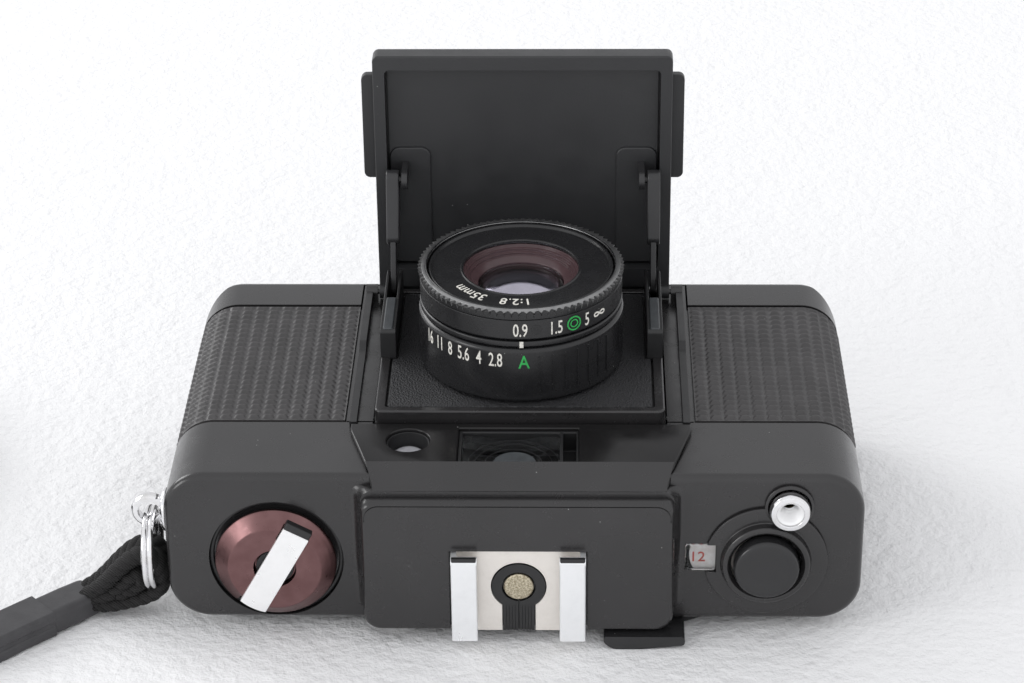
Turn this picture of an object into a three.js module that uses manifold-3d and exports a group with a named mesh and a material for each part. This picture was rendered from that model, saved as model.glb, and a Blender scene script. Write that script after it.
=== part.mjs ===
// A compact 35 mm camera with a fold-up front door and a lens board that rises with it.
// It lies on its back: +Z is the lens axis and points up, -Y is the top of the camera,
// +X is the shutter button's side. Millimetres. The origin is the foot of the lens axis
// on the surface that the back rests on. Cut or resting pieces keep a gap of 0.3 mm.
import * as THREE from 'three';
import { mergeVertices } from 'three/addons/utils/BufferGeometryUtils.js';
import Module from 'manifold-3d';

const wasm = await Module();
wasm.setup();

// ---------------------------------------------------------------- driving dimensions
const GAP = 0.3;

const BODY = {
  left: -54.1, right: 52.5,       // sides
  top: -33.0, bottom: 30.4,       // shoulder plane of the top cover, base
  back: 2.5, front: 28.4,         // housing back and front, in Z
  corner: 6.5, baseCorner: 9.0,   // corner radii seen from the top and from the front
  wall: 1.8,
};
const TOP_SPLIT = -16.85;         // seam between the top cover and the front casing
const BASE_SPLIT = 21.35;         // seam between the front casing and the base cover
const HUMP = { left: -23.9, right: 23.7, top: -36.64, back: 2.7 };
const WELL = { half: 22.9, top: -18.8, bottom: 22.3 };   // opening for the lens board
const FRAME_HALF = 27.0;          // plain strip of the casing beside the well

const BOARD = { half: 22.5, top: -18.5, bottom: 22.0, low: 24.6, plate: 30.4, rim: 31.25 };
const LENS = {
  ringR: 16.2, ringLow: 31.6, ringTop: 40.9,
  indexTop: 42.1, focusTop: 47.5, faceZ: 46.75, faceR: 14.5, mouthR: 9.05,
};

const DOOR = {                    // front door, standing open
  hingeY: 23.7, hingeZ: 29.8, thick: 3.5, half: 24.2, low: 30.2, high: 72.4,
  wingHalf: 26.2, wingLow: 50.0, wingHigh: 68.4, pocket: 2.9, rim: 1.9,
};
const STRUT = { x: 21.3, pivotY: 21.7, pivotZ: 51.5, footY: 17.0, footZ: 34.0 };
const BRACKET = { inner: 20.0, outer: 22.5, near: -1.4, far: 20.8, block: 8.8, high: 36.1 };

const KNOB = { x: -37.2, z: 13.4, r: 9.33 };
const BUTTON = { x: 37.7, z: 13.6, r: 5.05 };
const RELEASE = { x: 41.0, z: 23.3, r: 3.1 };
const COUNTER = { x0: 25.5, x1: 29.9, z0: 11.9, z1: 16.3 };
const SHOE = { half: 10.25, lip: 6.25, z0: 2.2, z1: 17.0, floor: -34.9, lipTop: -38.6 };
const SHOE_CONTACT = 10.3;        // Z of the shoe's centre contact
const CRANK_ANGLE = 61;           // folded crank's direction, degrees from +X towards +Z
const LEVER = { y0: -30.1, y1: -28.3 };

const SPOOL = { x: 40.2, z: 13.6 };
const SPROCKET = { x: 26.9, z: 9.2 };
const FILM_Z = 5.5;
const FILM = { flange: 17.9, row: 14.1, gate: [18, 12] };   // half sizes set by 35 mm film
const CASSETTE = { r: 12.6, y0: -22.4, y1: 26.0 };

const TRIPOD = { x: 2.0, z: 14.0 };
const BATTERY = { x: 40.2, z: 15.0 };
const BASE_SCREWS = [[-44, 20], [-44, 8], [22, 21]];
const BACK_HINGE = { x: 52.7, z: 7.75 };
const BACK_DOOR = { y0: -19.9, y1: 28.3, lip: 7.6 };
const LUG = { x: -57.1, y: -27.2, z: 18.8 };
const STRAP = { half: 3.4, high: 4.6, capX: -67.5, capY: -26.2, run: 9.0, heading: 223 };

// The band's centre line: out of the cap as the upper run, round the bight, and back below it.
const STRAP_ROUTE = [
  [-74.1, -32.3, 3.5], [-78.5, -36.4, 3.5], [-82.5, -40.1, 3.5],
  [-89.4, -45.6, 3.4], [-98.4, -47.6, 3.4], [-107.6, -44.8, 3.4], [-114.6, -38.2, 3.4],
  [-118.0, -29.6, 3.4], [-120.0, -18.0, 3.4], [-122.0, -5.0, 3.4], [-124.2, 8.0, 3.4],
  [-125.4, 18.0, 3.4], [-123.8, 26.5, 3.4], [-119.0, 31.3, 3.4], [-112.5, 33.0, 3.4],
  [-106.0, 31.3, 3.4], [-101.2, 26.5, 3.4], [-99.6, 18.0, 3.4], [-100.0, 8.0, 3.4],
  [-101.2, -5.0, 3.4], [-103.0, -17.0, 3.4], [-104.6, -29.0, 3.4], [-103.6, -36.5, 3.4],
  [-99.3, -41.6, 3.4], [-92.9, -44.0, 3.4], [-88.0, -43.4, 3.2],
  [-82.5, -40.1, 1.1], [-78.5, -36.4, 1.1], [-74.1, -32.3, 1.1],
];

// ---------------------------------------------------------------- materials
const finish = (color, roughness, metalness = 0) =>
  new THREE.MeshStandardMaterial({ color, roughness, metalness });
const BLACK = finish(0x2c2b2d, 0.45);
const GRIP = finish(0x252325, 0.7);
const SATIN = finish(0x1c1c1d, 0.5);
const DOOR_BLACK = finish(0x202221, 0.5);
const CHROME = finish(0xd8d8d8, 0.2, 1.0);
const SHOE_METAL = finish(0xd5cfc6, 0.35, 1.0);
const STEEL = finish(0x9b9b9d, 0.35, 1.0);
const BRASS = finish(0xb59a5a, 0.35, 1.0);
const MAROON = finish(0x4d3334, 0.35, 0.8);
const GLASS = finish(0x9fb0b8, 0.05);
const WHITE = finish(0xe8e2d8, 0.6);
const STRAP_BLACK = finish(0x3a393c, 0.5);
const BRAID = finish(0x1d1b1c, 0.9);
const ALLOY = finish(0x55565a, 0.5, 0.9);

// ---------------------------------------------------------------- solids
function weld(geometry) {
  const bare = geometry.index ? geometry.clone() : geometry;
  for (const name of Object.keys(bare.attributes)) {
    if (name !== 'position') bare.deleteAttribute(name);
  }
  bare.clearGroups();
  const merged = mergeVertices(bare, 1e-4);
  const index = merged.index.array;
  const kept = [];
  for (let i = 0; i < index.length; i += 3) {
    const [a, b, c] = [index[i], index[i + 1], index[i + 2]];
    if (a !== b && b !== c && c !== a) kept.push(a, b, c);
  }
  const p = merged.attributes.position;
  const [A, B, C] = [new THREE.Vector3(), new THREE.Vector3(), new THREE.Vector3()];
  let volume = 0;
  for (let i = 0; i < kept.length; i += 3) {
    A.fromBufferAttribute(p, kept[i]);
    B.fromBufferAttribute(p, kept[i + 1]);
    C.fromBufferAttribute(p, kept[i + 2]);
    volume += A.dot(B.cross(C));
  }
  if (volume < 0) kept.reverse();
  merged.setIndex(kept);
  return merged;
}

function solid(geometry) {
  const welded = weld(geometry);
  return new wasm.Manifold(new wasm.Mesh({
    numProp: 3,
    vertProperties: new Float32Array(welded.attributes.position.array),
    triVerts: new Uint32Array(welded.index.array),
  }));
}

const join = (first, ...rest) => rest.reduce((a, b) => a.add(b), first);
const cut = (first, ...rest) => rest.reduce((a, b) => a.subtract(b), first);

function geometryOf(manifold) {
  const mesh = manifold.getMesh();
  const geometry = new THREE.BufferGeometry();
  geometry.setAttribute('position', new THREE.BufferAttribute(mesh.vertProperties, 3));
  geometry.setIndex(new THREE.BufferAttribute(mesh.triVerts, 1));
  return geometry;
}

// A rounded rectangle; the four radii run from the low-low corner anticlockwise.
function roundRect(x0, y0, x1, y1, radii) {
  const [a, b, c, d] = Array.isArray(radii) ? radii : [radii, radii, radii, radii];
  const shape = new THREE.Shape();
  shape.moveTo(x0 + a, y0);
  shape.lineTo(x1 - b, y0);
  if (b) shape.absarc(x1 - b, y0 + b, b, -Math.PI / 2, 0, false);
  shape.lineTo(x1, y1 - c);
  if (c) shape.absarc(x1 - c, y1 - c, c, 0, Math.PI / 2, false);
  shape.lineTo(x0 + d, y1);
  if (d) shape.absarc(x0 + d, y1 - d, d, Math.PI / 2, Math.PI, false);
  shape.lineTo(x0, y0 + a);
  if (a) shape.absarc(x0 + a, y0 + a, a, Math.PI, 1.5 * Math.PI, false);
  return shape;
}

const polygon = (points) => new THREE.Shape(points.map(([x, y]) => new THREE.Vector2(x, y)));

function extrude(shape, depth, curveSegments) {
  return new THREE.ExtrudeGeometry(shape, { depth, bevelEnabled: false, curveSegments });
}

// A shape of (X, Z) points drawn out along Y, of (Y, Z) along X, and of (X, Y) along Z.
function alongY(shape, y0, y1, segments = 4) {
  return solid(extrude(shape, y1 - y0, segments).rotateX(Math.PI / 2).translate(0, y1, 0));
}

function alongX(shape, x0, x1, segments = 4) {
  const turn = new THREE.Matrix4().makeBasis(
    new THREE.Vector3(0, 1, 0), new THREE.Vector3(0, 0, 1), new THREE.Vector3(1, 0, 0));
  return solid(extrude(shape, x1 - x0, segments).applyMatrix4(turn).translate(x0, 0, 0));
}

function alongZ(shape, z0, z1, segments = 4) {
  return solid(extrude(shape, z1 - z0, segments).translate(0, 0, z0));
}

function block(x0, x1, y0, y1, z0, z1) {
  const box = new THREE.BoxGeometry(x1 - x0, y1 - y0, z1 - z0);
  return solid(box.translate((x0 + x1) / 2, (y0 + y1) / 2, (z0 + z1) / 2));
}

// A profile of [radius, height] pairs turned about an axis through (x, y, z).
function turned(profile, axis, [x, y, z], segments) {
  const points = profile.map(([r, h]) => new THREE.Vector2(r, h));
  const lathe = new THREE.LatheGeometry(points, segments);
  if (axis === 'z') lathe.rotateX(Math.PI / 2);
  if (axis === 'x') lathe.rotateZ(-Math.PI / 2);
  return solid(lathe.translate(x, y, z));
}

function rod(axis, centre, r, from, to, segments = 20) {
  return turned([[0, from], [r, from], [r, to], [0, to]], axis, centre, segments);
}

function tube(axis, centre, outer, inner, from, to, segments = 32) {
  const profile = [[inner, from], [outer, from], [outer, to], [inner, to], [inner, from]];
  return turned(profile, axis, centre, segments);
}

// The same X range on either side of the lens axis, low end first.
const span = (side, a, b) => (side > 0 ? [a, b] : [-b, -a]);

const onLensAxis = [0, 0, 0];
const atY = (place) => [place.x, 0, place.z];

// ---------------------------------------------------------------- the assembly
const camera = new THREE.Group();

function add(name, piece, material) {
  const mesh = new THREE.Mesh(geometryOf(piece), material);
  mesh.name = name;
  camera.add(mesh);
}

const section = (inset, low, radius = BODY.corner) =>
  roundRect(BODY.left + inset, low, BODY.right - inset, BODY.front - inset, radius);

// Front casing: a channel, open at both ends and at the back, with the lens board's well.
function frontCasing() {
  const inset = 0.9;
  const y0 = TOP_SPLIT + GAP / 2;
  const y1 = BASE_SPLIT - GAP / 2;
  const low = 7.9;
  const shell = alongY(section(inset, low, [0, 0, 5.6, 5.6]), y0, y1);
  const feet = alongY(section(0, low, [0, 0, 0, 0]), y0, y1)
    .intersect(block(-60, 60, y0, y1, low, low + 1.3));
  const plain = block(-FRAME_HALF, FRAME_HALF, y0, BODY.bottom - 2.1, 26.1, BODY.front);
  const inside = alongY(section(2.4, -5, [0, 0, 4.2, 4.2]), y0 - 1, y1 + 9)
    .subtract(block(-60, 60, y0 - 2, y1 + 10, 26.1, 30));
  const ears = [-1, 1].map((side) => hingeEar(side));
  const well = block(-WELL.half, WELL.half, y0 - 1, WELL.bottom, 20, 32);
  const knuckles = [-8, 20].map((y) => rod('y', [BACK_HINGE.x, 0, BACK_HINGE.z], 1.1, y - 4, y + 4, 12)
    .add(block(BODY.right - 1.6, BACK_HINGE.x, y - 4, y + 4, low, BACK_HINGE.z + 1.1)));
  const axis = [BACK_HINGE.x, 0, BACK_HINGE.z];
  const doorKnuckle = rod('y', axis, 1.4, -3.2, 11.5, 10);
  const bore = rod('y', axis, 0.75, y0 - 5, y1 + 5, 10);
  return cut(join(shell, feet, plain, ...ears), inside, well, doorKnuckle).add(knuckles[0])
    .add(knuckles[1].intersect(block(40, 60, y0, y1, 0, 20))).subtract(bore);
}

// The ear and its stub pin, which carry one end of the front door.
function hingeEar(side) {
  const axis = [0, DOOR.hingeY, DOOR.hingeZ];
  return join(
    block(...span(side, 24.5, 26.4), DOOR.hingeY - 1.2, DOOR.hingeY + 1.2, 27.5, DOOR.hingeZ),
    rod('x', axis, 1.2, ...span(side, 24.5, 26.4), 16),
    rod('x', axis, 0.5, ...span(side, 21.6, 25.0), 10));
}

function grip(side) {
  const y0 = -16.3;
  const y1 = 20.9;
  const sheet = cut(
    alongY(section(0, 9.5, [0, 0, 6.5, 6.5]), y0, y1),
    alongY(section(0.6, 0, [0, 0, 5.9, 5.9]), y0 - 1, y1 + 1));
  return sheet.intersect(block(...span(side, FRAME_HALF + GAP, 60), y0 - 1, y1 + 1, 9, 40));
}

function rail(side) {
  const low = BODY.front + GAP;
  return alongX(polygon([
    [-18.6, low], [22.1, low], [22.1, 30.3], [6.0, 30.3], [4.2, 29.4], [-18.6, 29.4],
  ]), ...span(side, 25.2, 26.4));
}

function baseCover() {
  const y0 = BASE_SPLIT + GAP / 2;
  const outline = roundRect(BODY.left, -60, BODY.right, BODY.bottom,
    [0, 0, BODY.baseCorner, BODY.baseCorner]);
  const shell = alongY(section(0, BODY.back), y0, BODY.bottom)
    .intersect(alongZ(outline, 0, 40));
  const inner = roundRect(BODY.left + 1.8, -60, BODY.right - 1.8, BODY.bottom - 1.8, [0, 0, 7.2, 7.2]);
  const inside = alongY(section(1.8, -5, [0, 0, 5, 5]), y0 - 1, BODY.bottom - 1.8)
    .intersect(alongZ(inner, -6, 40));
  const sides = block(-60, 60, y0 - 1, BODY.bottom - 1.8, -1, 7.9);
  const notch = block(-FRAME_HALF - GAP, FRAME_HALF + GAP, y0 - 1, BODY.bottom - 1.8, 25.8, 30);
  const holes = [
    rod('y', atY(TRIPOD), 5.3, 20, 40),
    rod('y', atY(BATTERY), 7.5, 20, 40, 28),
    rod('y', atY(SPROCKET), 2.5, 20, 40, 12),
    ...BASE_SCREWS.map(([x, z]) => rod('y', [x, 0, z], 1.9, 29.6, 40, 12)),
  ];
  return cut(shell, inside, sides, notch, ...holes);
}

function topCover() {
  const y1 = TOP_SPLIT - GAP / 2;
  const shell = alongY(section(0, BODY.back), BODY.top, y1);
  const hump = alongX(polygon([
    [-30, HUMP.back], [HUMP.top, HUMP.back], [HUMP.top, 25.3], [-35.0, 27.1],
    [-33.6, 27.1], [-32.0, BODY.front], [-30, BODY.front],
  ]), HUMP.left, HUMP.right).intersect(
    alongY(roundRect(HUMP.left, HUMP.back, HUMP.right, 32, [2.5, 2.5, 0, 0]), -40, -20));
  const inside = alongY(section(1.8, 4.3, 5), BODY.top + 1.6, y1 + 1);
  const humpInside = block(HUMP.left + 1.7, HUMP.right - 1.7, -33.4, -30, 4.4, 24.8);
  const well = block(-WELL.half, WELL.half, WELL.top, 0, 20, 32);
  const shoePocket = block(-SHOE.half - GAP, SHOE.half + GAP, -40, SHOE.floor,
    SHOE.z0 - 1, SHOE.z1 + GAP);
  const leverSlot = join(
    block(10, 60, LEVER.y0 - 0.5, LEVER.y1 + 0.5, -2, 4.8),
    block(46, 60, LEVER.y0 - 0.5, LEVER.y1 + 0.5, -2, 16));
  const holes = [
    rod('y', atY(KNOB), 3.3, -40, -30, 20),
    rod('y', atY(BUTTON), 5.3, -40, -30, 24),
    rod('y', atY(RELEASE), 2.3, -40, -30, 16),
    block(COUNTER.x0 - GAP, COUNTER.x1 + GAP, -40, -30, COUNTER.z0 - GAP, COUNTER.z1 + GAP),
    block(-9.6, 9.5, -30.5, -20.1, 20, 32),
    rod('z', [-17.0, -24.1, 0], 3.6, 20, 32, 20),
    block(-7.5, 5.5, -30.0, -22.8, -2, 6),
  ];
  const bezelSeat = alongX(polygon([
    [-40, 27.1], [-33.6, 27.1], [-32.0, BODY.front], [-32.0, 30], [-40, 30],
  ]), HUMP.left, HUMP.right);
  const doorSeat = block(-60, 60, BACK_DOOR.y0 - GAP, 0, -1, BACK_DOOR.lip + GAP);
  return cut(join(shell, hump), inside, humpInside, well, shoePocket, leverSlot, bezelSeat,
    doorSeat, ...holes);
}

// Bezel over the finder window and the meter window.
function finderBezel() {
  const side = alongX(polygon([
    [-19.1, BODY.front + GAP], [-19.1, 29.4], [-30.2, 29.4], [-34.6, 27.8], [-34.6, 27.4],
    [-33.5, 27.4], [-31.9, BODY.front + GAP],
  ]), -30, 30);
  const face = alongZ(polygon([
    [-26.1, -19.1], [-26.1, -21.0], [-21.9, -34.6], [22.4, -34.6], [26.5, -21.0], [26.5, -19.1],
  ]), 20, 40);
  return cut(side.intersect(face),
    block(-9.3, 9.2, -30.2, -20.4, 20, 40),
    rod('z', [-17.0, -24.1, 0], 3.35, 20, 40, 28));
}

function hotShoe() {
  const [h, l] = [SHOE.half, SHOE.lip];
  const base = SHOE.floor - GAP;
  const rails = alongZ(polygon([
    [-h, base], [-h, SHOE.lipTop], [-l, SHOE.lipTop], [-l, SHOE.lipTop + 0.9],
    [-h + 0.8, SHOE.lipTop + 0.9], [-h + 0.8, base - 0.4], [h - 0.8, base - 0.4],
    [h - 0.8, SHOE.lipTop + 0.9], [l, SHOE.lipTop + 0.9], [l, SHOE.lipTop], [h, SHOE.lipTop],
    [h, base],
  ]), SHOE.z0, SHOE.z1);
  return cut(rails,
    rod('y', [0, 0, SHOE_CONTACT], 4.4, -40, -30, 24),
    block(-2.9, 2.9, -40, -30, 0, SHOE_CONTACT));
}

function shoeInsulator() {
  const y = SHOE.floor - GAP;
  return cut(join(
    rod('y', [0, 0, SHOE_CONTACT], 4.1, y - 0.5, y, 24),
    block(-2.6, 2.6, y - 0.5, y, 2.5, SHOE_CONTACT)),
  rod('y', [0, 0, SHOE_CONTACT], 2.6, -40, -30, 20));
}

// ---------------------------------------------------------------- top controls
function shutterCollar() {
  const y = BODY.top - GAP;
  return cut(turned([
    [5.4, y], [9.45, y], [9.45, y - 0.4], [6.9, y - 0.5], [6.7, y - 1.8], [6.3, y - 2.1],
    [5.4, y - 2.1], [5.4, y],
  ], 'y', atY(BUTTON), 28),
  rod('y', atY(RELEASE), RELEASE.r + 0.4, -40, -30, 20),
  block(20, COUNTER.x1 + 0.4, -40, -30, COUNTER.z0 - 0.4, COUNTER.z1 + 0.4));
}

function shutterButton() {
  return turned([
    [0, -26.0], [1.7, -26.0], [1.7, -32.6], [BUTTON.r, -32.6], [BUTTON.r, -36.1],
    [BUTTON.r - 0.4, -36.6], [0, -36.3],
  ], 'y', atY(BUTTON), 24);
}

function windLever() {
  const arm = alongY(polygon([
    [13, 0.0], [25.5, 0.0], [31.0, 2.2], [42.0, 9.4], [43.9, 13.6], [37.7, 19.6],
    [31.7, 15.0], [25.5, 2.3], [13, 2.3],
  ]), LEVER.y0, LEVER.y1);
  const hub = rod('y', atY(BUTTON), 6.1, LEVER.y0, LEVER.y1, 24);
  const thumb = alongY(roundRect(13, 0, 25.5, 2.3, [1.1, 0.6, 0.6, 1.1]), -37.5, LEVER.y1);
  return cut(join(arm, hub, thumb), rod('y', atY(BUTTON), 2.1, -40, -20, 16));
}

function rewindKnob() {
  const knob = turned([
    [0, -26.9], [2.5, -26.9], [2.5, -33.3], [KNOB.r - 0.6, -33.3], [KNOB.r, -33.7],
    [KNOB.r, -34.0], [7.0, -34.8], [3.2, -34.8], [3.2, -34.2], [0, -34.2],
  ], 'y', atY(KNOB), 28);
  const pocket = block(4.4, 8.2, -36, -33.8, -2.5, 2.5);     // room for the crank's heel to turn in
  return cut(knob, pocket.rotate([0, -CRANK_ANGLE, 0]).translate([KNOB.x, 0, KNOB.z]));
}

function rewindCrank() {
  const bar = alongY(roundRect(-8.9, -2.1, 7.4, 2.1, [2.0, 0.5, 0.5, 2.0]), -35.8, -35.1);
  const bend = alongY(roundRect(5.6, -2.1, 7.4, 2.1, 0.3), -36.6, -35.1);
  return join(bar, bend).rotate([0, -CRANK_ANGLE, 0]).translate([KNOB.x, 0, KNOB.z]);
}

function rewindShaft() {
  const shaft = rod('y', atY(KNOB), 2.2, -26.6, -16.5, 16);
  return cut(shaft, block(KNOB.x - 0.8, KNOB.x + 0.8, -18.8, -16, KNOB.z - 3, KNOB.z + 3));
}

function latchBar() {
  const yoke = cut(
    alongY(roundRect(-51.4, 9.6, -33.6, 17.2, [0.4, 2, 2, 0.4]), -25.2, -24.4),
    rod('y', atY(KNOB), 3.0, -27, -23, 16));
  return join(yoke, block(-51.4, -50.9, -25.2, -4, 12, 16));
}

// ---------------------------------------------------------------- lens board and lens
function lensBoard() {
  const box = alongZ(roundRect(-BOARD.half, BOARD.top, BOARD.half, BOARD.bottom, 1.2),
    BOARD.low, BOARD.rim);
  const recess = alongZ(roundRect(-20.9, BOARD.top + 1.3, 20.9, BOARD.bottom - 1.3, 0.6),
    BOARD.plate, 40);
  const below = block(-20.9, 20.9, BOARD.top + 1.3, BOARD.bottom - 1.3, 20, BOARD.plate - 1.2);
  const board = cut(box, recess, below, rod('z', onLensAxis, 12.0, 20, 40, 32));
  return join(board, linkBracket(-1), linkBracket(1));
}

function lensPanel() {
  const sheet = alongZ(roundRect(-20.6, BOARD.top + 1.6, 20.6, BOARD.bottom - 1.6, 0.4),
    BOARD.plate + GAP, BOARD.plate + 0.75);
  return cut(sheet, rod('z', onLensAxis, 15.0, 20, 40, 40),
    bracketFoot(-1), bracketFoot(1));
}

// One U-shaped bracket: two ears, joined by a block at the near end, that guide a strut's foot.
function linkBracket(side) {
  const low = BOARD.plate - 0.4;
  const [a, b] = span(side, BRACKET.inner, BRACKET.outer);
  const outer = alongX(polygon([
    [BRACKET.near, low], [BRACKET.far, low], [BRACKET.far, 34.6], [BRACKET.far - 1.2, BRACKET.high],
    [BRACKET.near, BRACKET.high],
  ]), a, b);
  return cut(outer, block(a + 0.45, b - 0.45, BRACKET.block, 30, BOARD.rim, 40));
}

function bracketFoot(side) {
  return block(...span(side, BRACKET.inner - GAP, 30), BRACKET.near - GAP, BRACKET.far + GAP, 25, 45);
}

// The fixed barrel, with the flange that carries the index mark between the two rings.
function lensBarrel() {
  return turned([
    [9.6, 29.3], [11.6, 29.3], [11.6, 41.1], [15.8, 41.1], [15.8, LENS.indexTop],
    [11.6, LENS.indexTop], [11.6, 45.8], [9.6, 45.8], [9.6, 29.3],
  ], 'z', onLensAxis, 32);
}

function apertureRing() {
  const r = LENS.ringR;
  return turned([
    [11.9, LENS.ringLow], [r, LENS.ringLow], [r, LENS.ringTop - 0.3], [r - 0.3, LENS.ringTop],
    [11.9, LENS.ringTop], [11.9, LENS.ringLow],
  ], 'z', onLensAxis, 32);
}

function focusRing() {
  return turned([
    [11.9, 42.4], [15.9, 42.4], [16.0, 46.0], [16.15, 46.2], [16.15, 47.3], [15.9, 47.5],
    [14.9, 47.5], [14.8, 45.85], [11.9, 45.85], [11.9, 42.4],
  ], 'z', onLensAxis, 32);
}

function innerBaffle() {
  return turned([
    [6.9, 41.8], [9.3, 41.8], [9.3, 45.85], [8.8, 45.85], [8.5, 44.6], [8.1, 44.4],
    [7.8, 43.3], [7.4, 43.1], [6.9, 41.8],
  ], 'z', onLensAxis, 28);
}

function frontLens() {
  return turned([
    [0, 38.6], [9.2, 38.6], [9.2, 40.2], [6.7, 40.6], [4.5, 41.3], [2.2, 41.6], [0, 41.7],
  ], 'z', onLensAxis, 32);
}

function shutterUnit() {
  return cut(
    tube('z', onLensAxis, 15.6, 8.2, 25.0, 28.9, 32),
    block(-1.5, 1.5, 13.5, 17, 20, 30));
}

// ---------------------------------------------------------------- front door
function frontDoor() {
  const y0 = DOOR.hingeY;
  const y1 = y0 + DOOR.thick;
  const slab = alongY(roundRect(-DOOR.half, DOOR.low, DOOR.half, DOOR.high, [0, 0, 0.8, 0.8]), y0, y1);
  const bevel = alongX(polygon([
    [y0 - 1, DOOR.high - 1.0], [y0 + 1.2, DOOR.high + 1], [y0 - 1, DOOR.high + 1],
  ]), -40, 40);
  const wings = alongY(
    roundRect(-DOOR.wingHalf, DOOR.wingLow, DOOR.wingHalf, DOOR.wingHigh, 1.0), y0 + 1.9, y1);
  const pocket = block(-DOOR.half + DOOR.rim, DOOR.half - DOOR.rim, y0 - 1, y0 + DOOR.pocket,
    34.0, DOOR.high - 2.4);
  const knuckles = [-1, 1].map(
    (side) => rod('x', [0, DOOR.hingeY, DOOR.hingeZ], 1.2, ...span(side, 21.2, DOOR.half), 16));
  const bore = rod('x', [0, DOOR.hingeY, DOOR.hingeZ], 0.75, -30, 30, 10);
  const relief = block(-DOOR.half - 1, DOOR.half + 1, 20, DOOR.hingeY + 0.9, 27, 30.7);
  return cut(join(cut(join(slab, wings), bevel, pocket, relief), ...knuckles), bore);
}

function doorLiner() {
  const y = DOOR.hingeY + DOOR.pocket - GAP;
  const sheet = block(-22.0, 22.0, y - 0.5, y, 34.3, DOOR.high - 2.7);
  const axis = [0, STRUT.pivotY, STRUT.pivotZ];
  const pivots = [-1, 1].map((side) => join(
    block(...span(side, 18.9, 19.8), STRUT.pivotY, y - 0.2, STRUT.pivotZ - 1.6, STRUT.pivotZ + 1.6),
    rod('x', axis, 1.6, ...span(side, 18.9, 19.8), 16),
    rod('x', axis, 0.6, ...span(side, 19.4, 22.0), 10)));
  return join(sheet, ...pivots);
}

// A strut: thin blade with a thicker head, hung on the door's pivot.
function strut(side) {
  const length = Math.hypot(STRUT.pivotY - STRUT.footY, STRUT.pivotZ - STRUT.footZ);
  const lean = THREE.MathUtils.radToDeg(
    Math.atan2(STRUT.pivotY - STRUT.footY, STRUT.pivotZ - STRUT.footZ));
  const x = STRUT.x * side;
  const blade = alongX(roundRect(-1.2, -length - 1.1, 1.2, 1.4, 1.1), x - 0.45, x + 0.45, 4);
  const head = alongX(roundRect(-1.5, -10.8, 1.5, 1.6, 1.4), x - 1.05, x + 1.05, 4);
  const hole = rod('x', [0, 0, 0], 0.85, x - 2, x + 2, 10);
  return cut(join(blade, head), hole).rotate([-lean, 0, 0])
    .translate([0, STRUT.pivotY, STRUT.pivotZ]);
}

// ---------------------------------------------------------------- film path
function filmChassis() {
  const [y0, y1] = [-20.2, 20.1];
  const rounded = alongZ(
    roundRect(BODY.left + 2.1, -40, BODY.right - 2.1, BODY.bottom - 2.1, [0, 0, 7.0, 7.0]), 0, 40);
  const left = alongY(roundRect(-50.6, FILM_Z, -23.3, 25.0, 2), CASSETTE.y0 - 1.2, CASSETTE.y1 + 1.2)
    .intersect(rounded);
  const right = alongY(roundRect(23.3, FILM_Z, 49.6, 25.0, 2), y0, y1);
  const plate = block(-25, 25, y0, y1, FILM_Z, 6.8);
  const chamber = (place, r, from, to, segments) => join(
    rod('y', atY(place), r, from, to, segments),
    block(place.x - r, place.x + r, from, to, 0, place.z));
  return cut(join(left, right, plate),
    chamber(KNOB, CASSETTE.r, CASSETTE.y0, CASSETTE.y1, 28),
    chamber(SPOOL, 9.2, -19, 19, 24),
    chamber(SPROCKET, 4.0, -19, 19, 16),
    block(-FILM.gate[0], FILM.gate[0], -FILM.gate[1], FILM.gate[1], 0, 10),
    rod('y', atY(KNOB), 3.0, -26, -18, 14),
    rod('y', atY(SPOOL), 2.4, -22, 22, 14),
    rod('y', atY(SPROCKET), 1.4, -22, 22, 10));
}

function takeUpSpool() {
  const inner = FILM.flange;
  const outer = inner + 0.7;
  const core = turned([
    [0, -24.2], [2.0, -24.2], [2.0, -outer], [8.6, -outer], [8.6, -inner], [4.6, -inner],
    [4.6, inner], [8.6, inner], [8.6, outer], [2.0, outer], [2.0, 19.9], [0, 19.9],
  ], 'y', atY(SPOOL), 24);
  return cut(core, block(SPOOL.x - 0.5, SPOOL.x + 0.5, -9, 9, SPOOL.z, SPOOL.z + 6));
}

function sprocket() {
  const drum = turned([
    [0, -21.6], [1.1, -21.6], [1.1, -18.6], [3.2, -18.6], [3.2, 18.6], [1.1, 18.6],
    [1.1, 21.0], [0, 21.0],
  ], 'y', atY(SPROCKET), 16);
  const teeth = [];
  for (const y of [-FILM.row, FILM.row]) {
    for (let i = 0; i < 8; i += 1) {
      const tooth = solid(new THREE.BoxGeometry(0.9, 1.2, 0.9).translate(3.3, y, 0));
      teeth.push(tooth.rotate([0, i * 45, 0]).translate([SPROCKET.x, 0, SPROCKET.z]));
    }
  }
  return join(drum, ...teeth);
}

function gear(place, r, y0, y1, bore, count) {
  const teeth = [];
  for (let i = 0; i < count; i += 1) {
    const tooth = solid(new THREE.BoxGeometry(1.4, y1 - y0, 0.7).translate(r, (y0 + y1) / 2, 0));
    teeth.push(tooth.rotate([0, (i * 360) / count, 0]).translate([place.x, 0, place.z]));
  }
  return cut(join(rod('y', atY(place), r, y0, y1, 24), ...teeth),
    rod('y', atY(place), bore, y0 - 1, y1 + 1, 14));
}

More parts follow.
